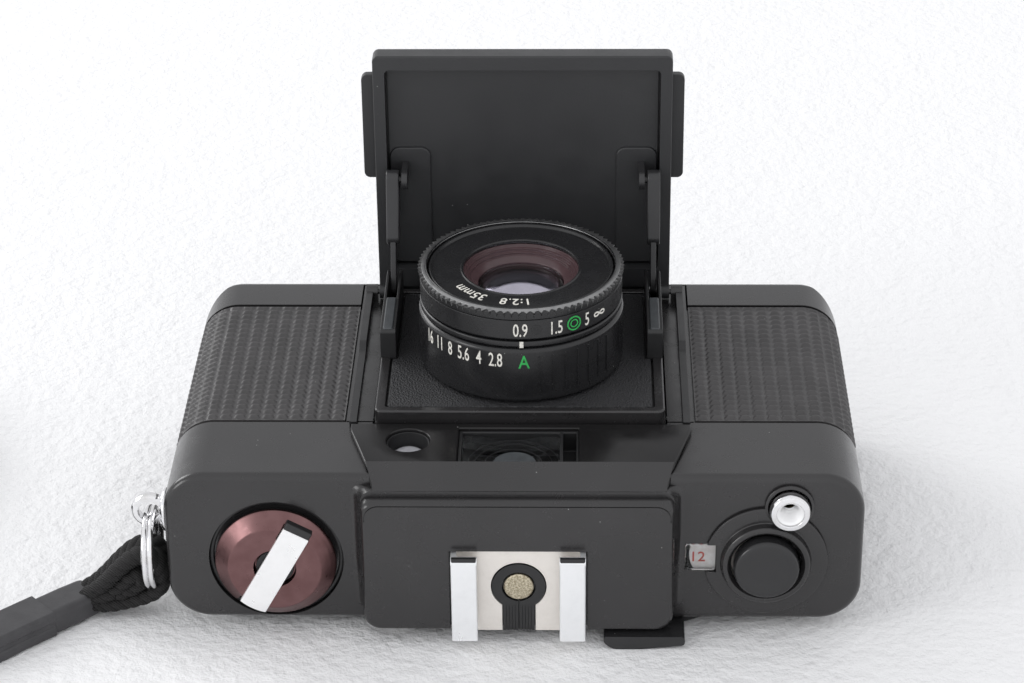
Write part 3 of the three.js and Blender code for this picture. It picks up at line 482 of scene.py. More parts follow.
def make_finishes():
    looks = {look: black_surface(*row) for look, *row in BLACKS}
    looks.update({look: metal_surface(*row) for look, *row in METALS})

    grip = Finish("grip_leatherette", 0.5)
    grip.tones(5, (0.044, 0.042, 0.0425), (0.060, 0.057, 0.058), 0.35, 0.7, 3,
               (2.2, 0.09, 0.16, (0.25, 0.25, 0.24)))
    looks["grip"] = grip.patchy(0.6, 4, 0.32, 0.48).grained(0.03, 0.16, 3, 0.7).material

    board = Finish("board_leatherette", 0.55)
    cells = board.add("ShaderNodeTexVoronoi", feature="F1")
    cells.inputs["Scale"].default_value = 1 / 0.36
    board.link(board.place, cells.inputs["Vector"])
    hollow = board.between(cells.outputs["Distance"], 0.1, 0.6)
    pebble = board.sum(board.noise(0.22, 3, 0.7), hollow, "SUBTRACT")
    board.tones(0.5, (0.010, 0.010, 0.011), (0.030, 0.030, 0.033), dust=(1.6, 0.08, 0.12, (0.3, 0.3, 0.29)))
    looks["board"] = board.bump(pebble, 0.16).material

    contact = Finish("tarnished_contact", 0.45, 1)
    spots = contact.noise(0.33, 4, 0.75)
    contact.colour(contact.mix(contact.between(spots, 0.42, 0.58), (0.33, 0.28, 0.19), (0.68, 0.62, 0.48)))
    looks["contact"] = contact.bump(spots, 0.02).material

    maroon = Finish("maroon_anodised", 0.22, 1)
    ring = maroon.add("ShaderNodeTexWave", wave_type="RINGS", rings_direction="SPHERICAL")
    ring.inputs["Scale"].default_value = 0.5
    centred = maroon.add("ShaderNodeVectorMath", operation="SUBTRACT")
    centred.inputs[1].default_value = (KNOB[0], -34, KNOB[1])
    maroon.link(maroon.place, centred.inputs[0])
    maroon.link(centred.outputs[0], ring.inputs["Vector"])
    maroon.tones(4, (0.150, 0.080, 0.080), (0.205, 0.115, 0.115), 0.3, 0.7).patchy(1.2, 4, 0.26, 0.38)
    looks["maroon"] = maroon.bump(ring.outputs["Fac"], 0.004).material

    pad = Finish("bracket_grey", 0.4).tones(1.5, (0.030, 0.033, 0.036), (0.075, 0.082, 0.088), detail=4)
    looks["pad"] = pad.grained(0.02, 0.3).material
    cell = Finish("meter_cell", 0.12).tones(1.6, (0.22, 0.22, 0.24), (0.62, 0.62, 0.65), detail=2)
    looks["cell"] = cell.material
    baffle = Finish("baffle_brown", 0.24).tones(1.5, (0.050, 0.026, 0.029), (0.085, 0.048, 0.052))
    looks["baffle"] = baffle.grained(0.01, 0.2, 2).material
    coated = Finish("coated_glass", 0.02, transmission_weight=1, ior=1.75)
    looks["coated"] = coated.tones(6, (0.93, 0.90, 0.97), (0.97, 0.95, 1)).material
    looks["mirror"] = Finish("inner_glass", 0.08, 1).tones(3, (0.34, 0.33, 0.38), (0.52, 0.51, 0.56)).material

    window = Finish("window_glass", 0.03, transmission_weight=1, ior=1.3)
    window.colour(window.mix(window.specks(1.8, 0.09, 0.18), (0.88, 0.90, 0.91), (0.55, 0.55, 0.55)))
    looks["window"] = window.patchy(1.6, 4, 0.02, 0.12, 0.5, 0.8).material

    dial = Finish("dial_white", 0.5).tones(1.1, (0.90, 0.85, 0.82), (0.74, 0.66, 0.62), 0.4, 0.75, 4)
    looks["dial"] = dial.grained(0.01, 0.3).material
    for name, ink in (("white", (0.80, 0.78, 0.72)), ("green", (0.03, 0.42, 0.09)),
                      ("red", (0.62, 0.10, 0.07))):
        worn = tuple(c * 0.7 for c in ink)
        looks["ink_" + name] = Finish("ink_" + name, 0.5).tones(0.4, ink, worn, 0.45, 0.7).material

    leather = Finish("strap_leather", 0.42)
    leather.tones(3, (0.036, 0.035, 0.038), (0.050, 0.049, 0.052), 0.35, 0.7, 4)
    looks["leather"] = leather.patchy(1, 3, 0.34, 0.48).grained(0.02, 0.35, 4, 0.7).material

    cord = Finish("braid_cord", 0.8)
    threads = cord.add("ShaderNodeTexWave", wave_type="BANDS", bands_direction="DIAGONAL")
    threads.inputs["Scale"].default_value = 1.1
    threads.inputs["Distortion"].default_value = 1.5
    cord.link(cord.place, threads.inputs["Vector"])
    cord.colour(cord.mix(threads.outputs["Fac"], (0.004, 0.0037, 0.0037), (0.014, 0.013, 0.0132)))
    looks["cord"] = cord.bump(threads.outputs["Fac"], 0.12).material

    floor = Finish("paper", 0.85).tones(60, (0.875, 0.875, 0.88), (0.90, 0.90, 0.905), detail=2)
    looks["floor"] = floor.bump(floor.sum(floor.noise(1.9, 3, 0.62), floor.noise(7, 2)), 0.5).material
    return looks


LOOK = {}


# ------------------------------------------------------------------ body shells
SIDES = {-1: "left", 1: "right"}
SHELL_PLAN = [BODY.left, BODY.back, BODY.right, BODY.front, BODY.corner, 14]


def span(side, low, high):
    return (low, high) if side > 0 else (-high, -low)


def hump():
    """The raised middle of the top cover, as rings of (y, inset, front edge)."""
    steps = [(-30, 0, 28.2), (-32, 0, 28.2), (-33.6, 0, 25.95), (-35.1, 0, 25.95), (-35.3, 0, 25.92),
             (-35.95, 0.1, 25.75), (-36.4, 0.3, 25.6), (-36.6, 0.5, 25.45), (-36.64, 0.8, 25.2)]
    rings = []
    for y, inset, high in steps:
        outline = rounded(HUMP.left + inset, 2.7 + inset, HUMP.right - inset, high, [2.5, 2.5, 1.6, 1.6])
        rings.append([(x, y, z) for x, z in outline])
    return loft(rings)


def hump_flare():
    """The hump's sides running out into the shoulders."""
    rings = []
    for y, out in ((-32.6, 1.9), (-33, 1.55), (-33.3, 0.95), (-33.7, 0.5), (-34.3, 0.18), (-35, -0.1)):
        outline = rounded(HUMP.left - out, 4.5, HUMP.right + out, 26.9, [2.5, 2.5, 1.8, 1.8])
        rings.append([(x, y, z) for x, z in outline])
    return loft(rings)


def make_top_cover():
    y1 = TOP_SPLIT - GAP / 2
    cover = slab(rect(*SHELL_PLAN), "y", BODY.top, y1, edge_low=1.2, edge_high=0.08, steps=6)
    cover = fuse(cover, hump(), hump_flare())
    groove = carve(slab(rect(HUMP.left + 0.6, 0, HUMP.right - 0.6, 25.3, 2.2), "y", -37, -36.4),
                   slab(rect(HUMP.left + 0.74, 0, HUMP.right - 0.74, 25.16, 2.1), "y", -38, -36),
                   block(-30, 30, -38, -36, -2, 22.5))
    window = block(FINDER[0] - 0.3, FINDER[1] + 0.3, FINDER[2] - 0.3, FINDER[3] + 0.3, 20, 32)
    carve(cover, slab(rect(-52.3, 4.3, 50.7, 26.6, 5), "y", -31.4, -16),
          block(-WELL.half, WELL.half, WELL.top, 0, 20, 32),
          block(-SHOE.half - GAP, SHOE.half + GAP, -40, SHOE.floor + GAP, 1, SHOE.z1 + GAP),
          rod("y", KNOB, 10.35, -40, -31.9, 96), rod("y", KNOB, 3.3, -40, -30, 48),
          rod("y", BUTTON, 5.35, -40, -30, 72), rod("y", RELEASE, 2.3, -40, -30, 48),
          block(COUNTER[0] - 0.15, COUNTER[1] + 0.15, -40, -30, COUNTER[2] - 0.15, COUNTER[3] + 0.15),
          rod("y", (31, 14.1), 5.3, -32.3, -30.5, 96), window, groove, rod("z", SENSOR, 3.6, 20, 32, 64),
          block(-7.5, 5.5, -30, -22.8, -2, 6), block(10, 60, -30.6, -27.8, -2, 4.8),
          block(46, 60, -30.6, -27.8, -2, 16), block(-60, 60, -20.2, 0, -1, 7.9))
    place(cover, "top_cover_shell", "body", "body_black", "top_cover", edge=0.22)


BASE_SCREWS = ((-44, 20), (-44, 8), (22, 21))


def make_base_cover():
    y0 = BASE_SPLIT + GAP / 2
    cover = slab(rect(*SHELL_PLAN), "y", y0, BODY.bottom, edge_low=0.08, edge_high=2, steps=8)
    plan = slab(rect(BODY.left, -60, BODY.right, BODY.bottom, [0.1, 0.1, 9, 9], 20), "z", 0, 40)
    combined(cover, "INTERSECT", [plan])
    inner = slab(rect(-52.3, -60, 50.7, 28.6, [0.1, 0.1, 7.2, 7.2]), "z", -6, 40)
    inside = combined(slab(rect(-52.3, -5, 50.7, 26.6, 5), "y", y0 - 1, 28.6), "INTERSECT", [inner])
    carve(cover, inside, block(-60, 60, y0 - 1, 28.6, -1, 7.9),
          block(-FRAME_HALF - GAP, FRAME_HALF + GAP, y0 - 1, 28.6, 25.8, 30), rod("y", (2, 14), 5.3, 20, 40),
          rod("y", (40.2, 15), 7.5, 20, 40, 80), rod("y", (26.9, 9.2), 2.5, 20, 40),
          *[rod("y", at, 1.9, 29.6, 40, 40) for at in BASE_SCREWS])
    place(cover, "base_cover_shell", "body", "body_black", "base_cover", edge=0.2)
    for i, at in enumerate(BASE_SCREWS):
        head = lathe([(0, 29.6), (1.75, 29.6), (1.75, 30), (1.2, 30.3), (0, 30.4)], "y", at, 40, 0.15)
        carve(head, block(at[0] - 1.3, at[0] + 1.3, 30, 31, at[1] - 0.2, at[1] + 0.2),
              block(at[0] - 0.2, at[0] + 0.2, 30, 31, at[1] - 1.3, at[1] + 1.3))
        place(head, f"base_screw_{i + 1}", "steel", "steel", edge=0.04)


SCALE_PITCH, ROW_PITCH, SCALE_HEIGHT = 2.2, 1.55, 0.46


def scale_height(along, y):
    """Height of the grip's pattern: columns of small arched scales that rise towards +Y."""
    across = 2 * (along / SCALE_PITCH % 1) - 1
    rise = (y / ROW_PITCH + 0.34 * across * across) % 1
    ramp = rise / 0.42 if rise < 0.42 else 1 - (rise - 0.42) / 0.58
    width = max(0, 1 - (across / 0.82) ** 4)
    return SCALE_HEIGHT * (width * (ramp * ramp * (3 - 2 * ramp)) - 0.75)


def grip_path(side):
    """Points (x, z, normal x, normal z, distance) from beside the lens well, round the end, and down."""
    edge = BODY.right if side > 0 else -BODY.left
    start, corner, low, step = FRAME_HALF + GAP, BODY.corner, 9.5, 0.22
    flat = edge - corner - start
    quarter = math.pi / 2 * corner
    drop = BODY.front - corner - low
    count = round((flat + quarter + drop) / step)
    path = []
    for i in range(count + 1):
        s = (flat + quarter + drop) * i / count
        if s < flat:
            x, z, nx, nz = start + s, BODY.front, 0, 1
        elif s < flat + quarter:
            t = (s - flat) / corner
            nx, nz = math.sin(t), math.cos(t)
            x, z = edge - corner + corner * nx, BODY.front - corner + corner * nz
        else:
            x, z, nx, nz = edge, BODY.front - corner - (s - flat - quarter), 1, 0
        path.append((side * x, z, side * nx, nz, s))
    return path


def make_grip(side):
    path = grip_path(side)
    y0, y1, step = -16.3, 20.9, 0.22
    count = round((y1 - y0) / step)
    rows = [y0 + (y1 - y0) * j / count for j in range(count + 1)]
    points, faces = [], []
    for depth in (0, 0.6):
        for i, (x, z, nx, nz, s) in enumerate(path):
            for j, y in enumerate(rows):
                border = min(1, min(i, len(path) - 1 - i, j, count - j) / 1.5)
                h = -depth if depth else scale_height(s, y) * border - 0.1 * (1 - border)
                points.append((x + nx * h, y, z + nz * h))
    width, length = len(rows), len(path)
    under = width * length
    for i in range(length - 1):
        for j in range(width - 1):
            a = i * width + j
            faces.append((a, a + 1, a + width + 1, a + width))
            faces.append((under + a, under + a + width, under + a + width + 1, under + a + 1))
    rim = [i * width for i in range(length)] + [(length - 1) * width + j for j in range(1, width)]
    rim += [i * width + width - 1 for i in range(length - 2, -1, -1)] + list(range(width - 2, 0, -1))
    for a, b in zip(rim, rim[1:] + rim[:1]):
        faces.append((a, b, under + b, under + a))
    name = "grip_" + SIDES[side]
    place(new_piece(points, faces), name + "_scales", "grip", "grip_leatherette", name, sharp=60)


def make_rail(side):
    low = BODY.front + 0.05
    profile = [(-18.6, low), (22.1, low), (22.1, 30.3), (6, 30.3), (5.4, 30.2), (4.4, 29.6), (3.4, 29.4),
               (-18.6, 29.4)]
    a, b = span(side, 25.3, 26.4)
    rail = prism(profile, "x", a, b)
    end = lathe([(0, a), (1.15, a), (1.15, b), (0, b)], "x", (22.1, 29.2), 48)
    name = "rail_" + SIDES[side]
    place(fuse(rail, end), name + "_bar", "satin", "body_black", name, edge=0.34)


# ------------------------------------------------------------------ finder and windows
def make_finder():
    profile = [(-19.1, BODY.front + 0.05), (-19.1, 29.4), (-30.4, 29.4), (-34.75, 26.85), (-34.75, 26.5),
               (-33.5, 26.5), (-31.9, BODY.front + 0.05)]
    bezel = prism(profile, "x", -30, 30)
    plan = [(-26.1, -19.1), (-26.1, -20.6), (-25.9, -21.4), (-22.2, -33.9), (-21.6, -34.6), (22.1, -34.6),
            (22.7, -33.9), (26.3, -21.4), (26.5, -20.6), (26.5, -19.1)]
    combined(bezel, "INTERSECT", [prism(list(reversed(plan)), "z", 20, 40)])
    carve(bezel, block(*FINDER, 20, 40), rod("z", SENSOR, 3.35, 20, 40, 72))
    # the bezel takes the darkened black, painted shade standing in for the dark door it reflects
    place(bezel, "finder_bezel_frame", "bezel", "body_black", "finder_bezel", edge=0.28)

    # a thin skin of the lighter body black on the bezel's front slope: painted highlight, lighter than the
    # bezel's darkened top
    slope = prism([(-30.42, 29.45), (-34.79, 26.9), (-34.7, 26.7), (-30.3, 29.3)], "x", -30, 30)
    inner = [(-21.9, -34.9), (22.4, -34.9), (22.5, -33.9), (23.6, -30.3), (-23.2, -30.3), (-22, -33.9)]
    combined(slope, "INTERSECT", [prism(inner, "z", 20, 40)])
    place(slope, "finder_bezel_slope_highlight", "body", "body_black")

    mask = block(FINDER[0] + 0.02, FINDER[1] - 0.02, FINDER[2] + 0.02, FINDER[3] - 0.02, 24.7, 28.9)
    carve(mask, block(-8.7, 6.3, -29.7, -21, 20, 40), block(6.75, 8.8, -29.7, -21, 25.6, 40))
    place(mask, "finder_mask", "satin", "satin_black", edge=0.12)

    glass = block(-8.65, 6.25, -29.65, -21.05, 26.2, 28.3)
    bowl = bpy.data.meshes.new("bowl")
    work = bmesh.new()
    bmesh.ops.create_uvsphere(work, u_segments=96, v_segments=64, radius=16)
    bmesh.ops.translate(work, verts=work.verts, vec=(-1.2, -25.3, 43.1))
    work.to_mesh(bowl)
    work.free()
    ball = linked("bowl", bowl)
    place(carve(glass, ball), "finder_glass", "window", "window_glass", "finder_window", edge=0.06)

    # a lighter disc and thin arcs under the finder glass stand in for reflections of the finder's inner
    # lenses: painted reflections
    field = block(-8.5, 6.1, -29.55, -21.2, 26, 29)
    spot = lathe([(0, 27.7), (3.3, 28.15), (3.3, 28.2), (0, 27.8)], "z", (-0.6, -28.9), 64)
    combined(spot, "INTERSECT", [field])
    place(spot, "finder_reflection_spot", "pad", "window_glass")
    arcs = [carve(lathe([(r, 27.9), (r + 0.09, 27.9), (r + 0.09, 28.1), (r, 28.1), (r, 27.9)], "z",
                        (-0.8, -29), 96), block(-20, 20, -40, -29.5, 20, 30),
                  block(-20, -8.5, -40, 0, 20, 30), block(6.1, 20, -40, 0, 20, 30)) for r in (4.4, 5.9, 7)]
    place(fuse(*arcs), "finder_reflection_arcs", "steel_black", "window_glass")

    cell = lathe([(2.9, 25.8), (3.32, 25.8), (3.32, 28.9), (3.1, 28.9), (2.7, 26.6), (2.7, 25.8),
                  (2.9, 25.8)], "z", SENSOR, 72)
    place(cell, "meter_cell_wall", "satin", "satin_black", edge=0.05)
    dome = [(0, 26), (2.6, 26), (2.6, 26.5)]
    dome += [(2.6 * math.cos(t), 26.5 + 0.95 * math.sin(t)) for t in [math.pi / 20 * s for s in range(1, 10)]]
    place(lathe(dome + [(0, 27.45)], "z", SENSOR, 72), "meter_lens", "cell", "window_glass", "meter_window")


# ------------------------------------------------------------------ top plate controls
def make_shoe():
    half, lip, z0, z1 = SHOE.half, SHOE.lip, SHOE.z0, SHOE.z1
    plate = block(-half + 0.75, half - 0.75, SHOE.plate, SHOE.floor, z0, z1)
    carve(plate, rod("y", (0, SHOE.contact), 4.25, -40, -30, 96),
          block(-2.55, 2.55, -40, -30, 0, SHOE.contact))
    place(plate, "shoe_plate", "shoe_plate", "shoe_nickel", "hot_shoe", edge=0.06)
    for side, name in SIDES.items():
        top = SHOE.top
        profile = eased([(half, SHOE.floor), (half, top), (lip, top), (lip, top + 0.85),
                         (half - 0.85, top + 0.85), (half - 0.85, SHOE.floor), (half, SHOE.floor)], 0.42,
                        5)[:-1]
        rail = prism([(side * x, y) for x, y in profile], "z", z0, z1)
        curl = rod("x", (top + 0.75, z1 - 0.75), 0.74, *span(side, lip + 0.02, half - 0.02), 32)
        carve(rail, block(-20, 20, top - 1, top + 0.75, z1 - 0.75, z1 + 1))
        stop = block(*span(side, lip + 0.1, half - 0.1), top + 0.05, top + 0.75, z1 - 0.7, z1 + 0.1)
        place(stop, "shoe_stop_" + name, "satin", "satin_black", edge=0.15)
        place(fuse(rail, curl), "shoe_rail_" + name, "shoe_rail", "shoe_nickel", edge=0.08)

    y = SHOE.floor
    key = fuse(rod("y", (0, SHOE.contact), 4.1, y - 0.55, y, 96),
               block(-2.4, 2.4, y - 0.55, y, 2.35, SHOE.contact))
    grooves = [block(x - 0.06, x + 0.06, y - 1, y - 0.35, 2, 7) for x in (-1.9, -1.45, -1, -0.55, 0.55, 1,
                                                                          1.45, 1.9)]
    carve(key, rod("y", (0, SHOE.contact), 2.6, -40, -30, 72), block(-0.12, 0.12, y - 1, y - 0.2, 2, 8),
          *grooves)
    place(key, "shoe_insulator_ring", "satin", "satin_black", "shoe_insulator", edge=0.07)
    disc = [(0, y), (2.32, y), (2.32, y - 0.5), (2.1, y - 0.7), (0, y - 0.82)]
    place(lathe(disc, "y", (0, SHOE.contact), 72, 0.12), "shoe_centre_contact", "contact", "brass",
          "shoe_contact")


def make_release():
    top = BODY.top
    collar = lathe([(5.35, top - 0.05), (9.45, top - 0.05), (9.45, top - 0.55), (9.15, top - 0.62),
                    (6.95, top - 0.62), (6.75, top - 1.75), (6.45, top - 2), (5.9, top - 2),
                    (5.35, top - 1.3), (5.35, top - 0.05)], "y", BUTTON, 128, 0.16)
    carve(collar, rod("y", RELEASE, 3.55, -40, -30, 72),
          block(20, COUNTER[1] + 0.25, -40, -30, COUNTER[2] - 0.25, COUNTER[3] + 0.25))
    place(collar, "shutter_collar_ring", "body", "body_black", "shutter_collar", edge=0.1)

    seat = lathe([(2.4, top - 0.05), (3.75, top - 0.05), (3.75, top - 0.5), (3.3, top - 0.75),
                  (3.3, top - 0.05), (2.4, top - 0.05)], "y", RELEASE, 72, 0.1)
    place(seat, "socket_seat", "body", "body_black")

    head = [(0, -26), (1.7, -26), (1.7, -33.55), (5, -33.55), (5, -35.9), (4.7, -36.35), (4.1, -36.4),
            (2.4, -36.25), (0, -36.2)]
    place(lathe(head, "y", BUTTON, 128, 0.3), "shutter_button_head", "button", "gloss_black",
          "shutter_button", body="shutter_button")

    socket = [(2.05, -31.8), (2.4, -31.8), (2.4, -33.3), (3.1, -33.3), (3.1, -35.2), (2.85, -35.6),
              (2.15, -35.7), (2.05, -35.5), (2.05, -31.8)]
    place(lathe(socket, "y", RELEASE, 96, 0.12), "cable_socket_rim", "chrome", "bright_chrome",
          "cable_socket")
    thread = [(2.05, -31.6), (2.05, -35.3)]
    for turn in range(6):
        deep, wide = -35.3 + 0.58 * turn, 2.02 - 0.13 * turn
        thread += [(wide, deep), (wide - 0.42, deep + 0.26), (wide - 0.1, deep + 0.5)]
    place(lathe([*thread, (1.2, -31.6), (2.05, -31.6)], "y", RELEASE, 96), "cable_socket_thread", "crank",
          "bright_chrome", sharp=25)

    window = slab(rect(COUNTER[0] - 0.1, COUNTER[2] - 0.1, COUNTER[1] + 0.1, COUNTER[3] + 0.1, 0.5), "y",
                  -33.45, -32.5, edge_low=0.3, edge_high=0.05)
    place(window, "counter_glass", "window", "window_glass", "counter_window")
    dial = lathe([(0, -30.7), (4.95, -30.7), (4.95, -32.1), (0, -32.1)], "y", (31, 14.1), 128, 0.05)
    place(dial, "counter_dial_disc", "dial", "dial_white", "counter_dial", body="counter_dial")
    flat_ink("counter_numeral", "12", 2.5, (26.05, -32.14, 12.9), "counter_dial", "red")
    for i, x in enumerate((26.5, 27.6, 28.7)):
        dot = lathe([(0, -32.1), (0.24 if i == 1 else 0.15, -32.1), (0.13, -32.14), (0, -32.14)], "y",
                    (x, 15.75), 20)
        place(dot, f"counter_dot_{i + 1}", "satin", "satin_black", body="counter_dial")


def make_lever():
    outline = [(13.3, 0), (25.2, 0), (31, 2), (36.5, 5.2), (42.2, 9.2), (44.2, 13.6), (42.4, 18),
               (37.7, 19.7), (33.4, 18), (31.4, 14.6), (28.9, 8), (25.6, 2.3), (13.3, 2.3)]
    smooth = eased([*outline, outline[0]], 1.2, 5)[:-1]
    arm = prism(smooth, "y", -30.1, -28.3)
    tongue = [(13, 2.3), (13, 1.2), (14.4, 0), (18.5, 0), (25.5, 0.75), (25.5, 2.3), (13, 2.3)]
    tab = prism(eased(tongue, 0.9, 6)[:-1], "y", -37.5, -28.3)
    lever = fuse(arm, tab, rod("y", BUTTON, 6.1, -30.1, -28.3, 72))
    ribs = [rod("y", (x, -0.35), 0.55, -36.9, -29.2, 24) for x in (15.5, 17.6, 19.7, 21.8)]
    carve(lever, rod("y", BUTTON, 2.1, -40, -20, 40), *ribs)
    place(lever, "wind_lever_arm", "button", "body_black", "wind_lever", body="wind_lever", edge=0.25)


def on_crank(piece):
    """Turns a piece made along X to the folded crank's direction, on the knob."""
    return shift(turned(piece, -CRANK_ANGLE, "Y"), KNOB[0], 0, KNOB[1])


def make_rewind():
    ring = lathe([(9.6, -31.7), (10.3, -31.7), (10.3, -32.3), (10.1, -32.4), (9.75, -32.4), (9.6, -32.3),
                  (9.6, -31.7)], "y", KNOB, 128, 0.12)
    place(ring, "rewind_collar_ring", "satin", "body_black", "rewind_collar")

    knob = lathe([(0, -26.9), (2.5, -26.9), (2.5, -33), (9.05, -33), (9.33, -33.3), (9.33, -33.75),
                  (9.15, -33.95), (7.2, -35.65), (7, -35.75), (3.3, -35.75), (3.2, -35.6), (3.2, -34.6),
                  (0, -34.6)], "y", KNOB, 144, 0.14)
    carve(knob, on_crank(block(5, 9.1, -37, -35, -2.3, 2.3)),
          on_crank(block(-11, -7.2, -37, -32.8, -2.3, 2.3)))
    place(knob, "rewind_knob_disc", "maroon", "maroon_anodised", "rewind_knob", body="rewind_knob", edge=0.08)

    hub = lathe([(0, -34.5), (2.9, -34.5), (2.9, -35.2), (1.2, -35.2), (1, -35.45), (0, -35.45)], "y", KNOB,
                64, 0.1)
    place(hub, "rewind_hub", "satin", "satin_black", body="rewind_knob")

    blade = slab(rect(-9.1, -2.15, 7.45, 2.15, 0.2, 4), "y", -36.35, -35.7, edge_low=0.08)
    combined(blade, "INTERSECT", [rod("y", (0, 0), 7.75, -40, -30, 96)])
    # the chrome heel is given satin black: a painted dark reflection of the dark parts it faces
    step = slab(rect(7.35, -2.15, 8.6, 2.15, 0.2, 4), "y", -36.3, -35, edge_low=0.3)
    place(on_crank(step), "rewind_crank_heel_dark_reflection", "satin", "bright_chrome", body="rewind_crank", edge=0.08)
    place(on_crank(blade), "rewind_crank_blade", "crank", "bright_chrome", "rewind_crank",
          body="rewind_crank", edge=0.06)


# ------------------------------------------------------------------ marks
def glyphs(text, size, tracking=1):
    """The numeral's faces as a flat mesh in X and Y, its left foot at the origin."""
    curve = bpy.data.curves.new("text", "FONT")
    curve.body, curve.size, curve.space_character = text, size, tracking
    curve.resolution_u = 3
    curve.offset = 0.007 * size
    holder = linked("text", curve)
    bpy.context.view_layer.update()
    mesh = bpy.data.meshes.new_from_object(holder.evaluated_get(bpy.context.evaluated_depsgraph_get()))
    bpy.data.objects.remove(holder)
    points = [tuple(v.co) for v in mesh.vertices]
    faces = [tuple(f.vertices) for f in mesh.polygons]
    return points, faces


def ink(name, points, faces, body, colour):
    mesh = bpy.data.meshes.new(name)
    mesh.from_pydata([[c * MM for c in p] for p in points], [], faces)
    mesh.materials.append(LOOK["ink_" + colour])
    piece = linked(name, mesh)
    thick = piece.modifiers.new("film", "SOLIDIFY")
    thick.thickness, thick.offset = 0.04 * MM, 0
    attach(piece, body)


def flat_ink(name, text, size, corner, body, colour):
    """A numeral on a face that looks towards -Y."""
    points, faces = glyphs(text, size)
    ink(name, [(corner[0] + x, corner[1], corner[2] + y) for x, y, _ in points], faces, body, colour)


def ring_ink(name, shape, radius, angle, height, body, colour, squeeze):
    """Flat faces wrapped on a ring round the lens axis, centred at angle degrees right of its front."""
    points, faces = shape
    middle = (min(p[0] for p in points) + max(p[0] for p in points)) / 2
    out = []
    for x, y, _ in points:
        turn = math.radians(angle) + (x - middle) * squeeze / radius
        out.append((radius * math.sin(turn), -radius * math.cos(turn), height + y))
    ink(name, out, faces, body, colour)


def disc_ink(name, text, size, radius, angle):
    """Marks round the name ring, their feet towards the lens, at degrees clockwise from +Y."""
    points, faces = glyphs(text, size, 1.08)
    middle = (min(p[0] for p in points) + max(p[0] for p in points)) / 2
    out = []
    for x, y, _ in points:
        turn, r = math.radians(angle) + (x - middle) * 0.85 / (radius + 0.8), radius + y
        out.append((r * math.sin(turn), r * math.cos(turn), 46.79))
    ink(name, out, faces, "lens_carriage", "white")


def band_loop(points, width):
    """A closed line of some width in a plane."""
    inner, outer, count = [], [], len(points)
    for i, (x, y) in enumerate(points):
        (ax, ay), (bx, by) = points[i - 1], points[(i + 1) % count]
        length = math.hypot(bx - ax, by - ay)
        nx, ny = (by - ay) / length * width / 2, -(bx - ax) / length * width / 2
        inner.append((x - nx, y - ny, 0))
        outer.append((x + nx, y + ny, 0))
    faces = [(i, (i + 1) % count, count + (i + 1) % count, count + i) for i in range(count)]
    return inner + outer, faces


def circle_line(radius, width, steps=40):
    return band_loop([(radius * math.cos(t), radius * math.sin(t)) for t in round_turn(steps)], width)


def endless(width, height, line, steps=48):
    """The sign for infinity: a lemniscate."""
    points = []
    for s in range(steps):
        t = 2 * math.pi * (s + 0.5) / steps
        k = 1 + math.sin(t) ** 2
        points.append((width / 2 * math.cos(t) / k, height * 1.4 * math.sin(t) * math.cos(t) / k))
    return band_loop(points, line)


# ------------------------------------------------------------------ lens
def lens_piece(profile, name, look, slot, *nodes, body="lens_carriage", steps=240, ease=0, **rims):
    """A profile turned about the lens axis and placed."""
    return place(lathe(profile, steps=steps, ease=ease), name, look, slot, *nodes, body=body, **rims)


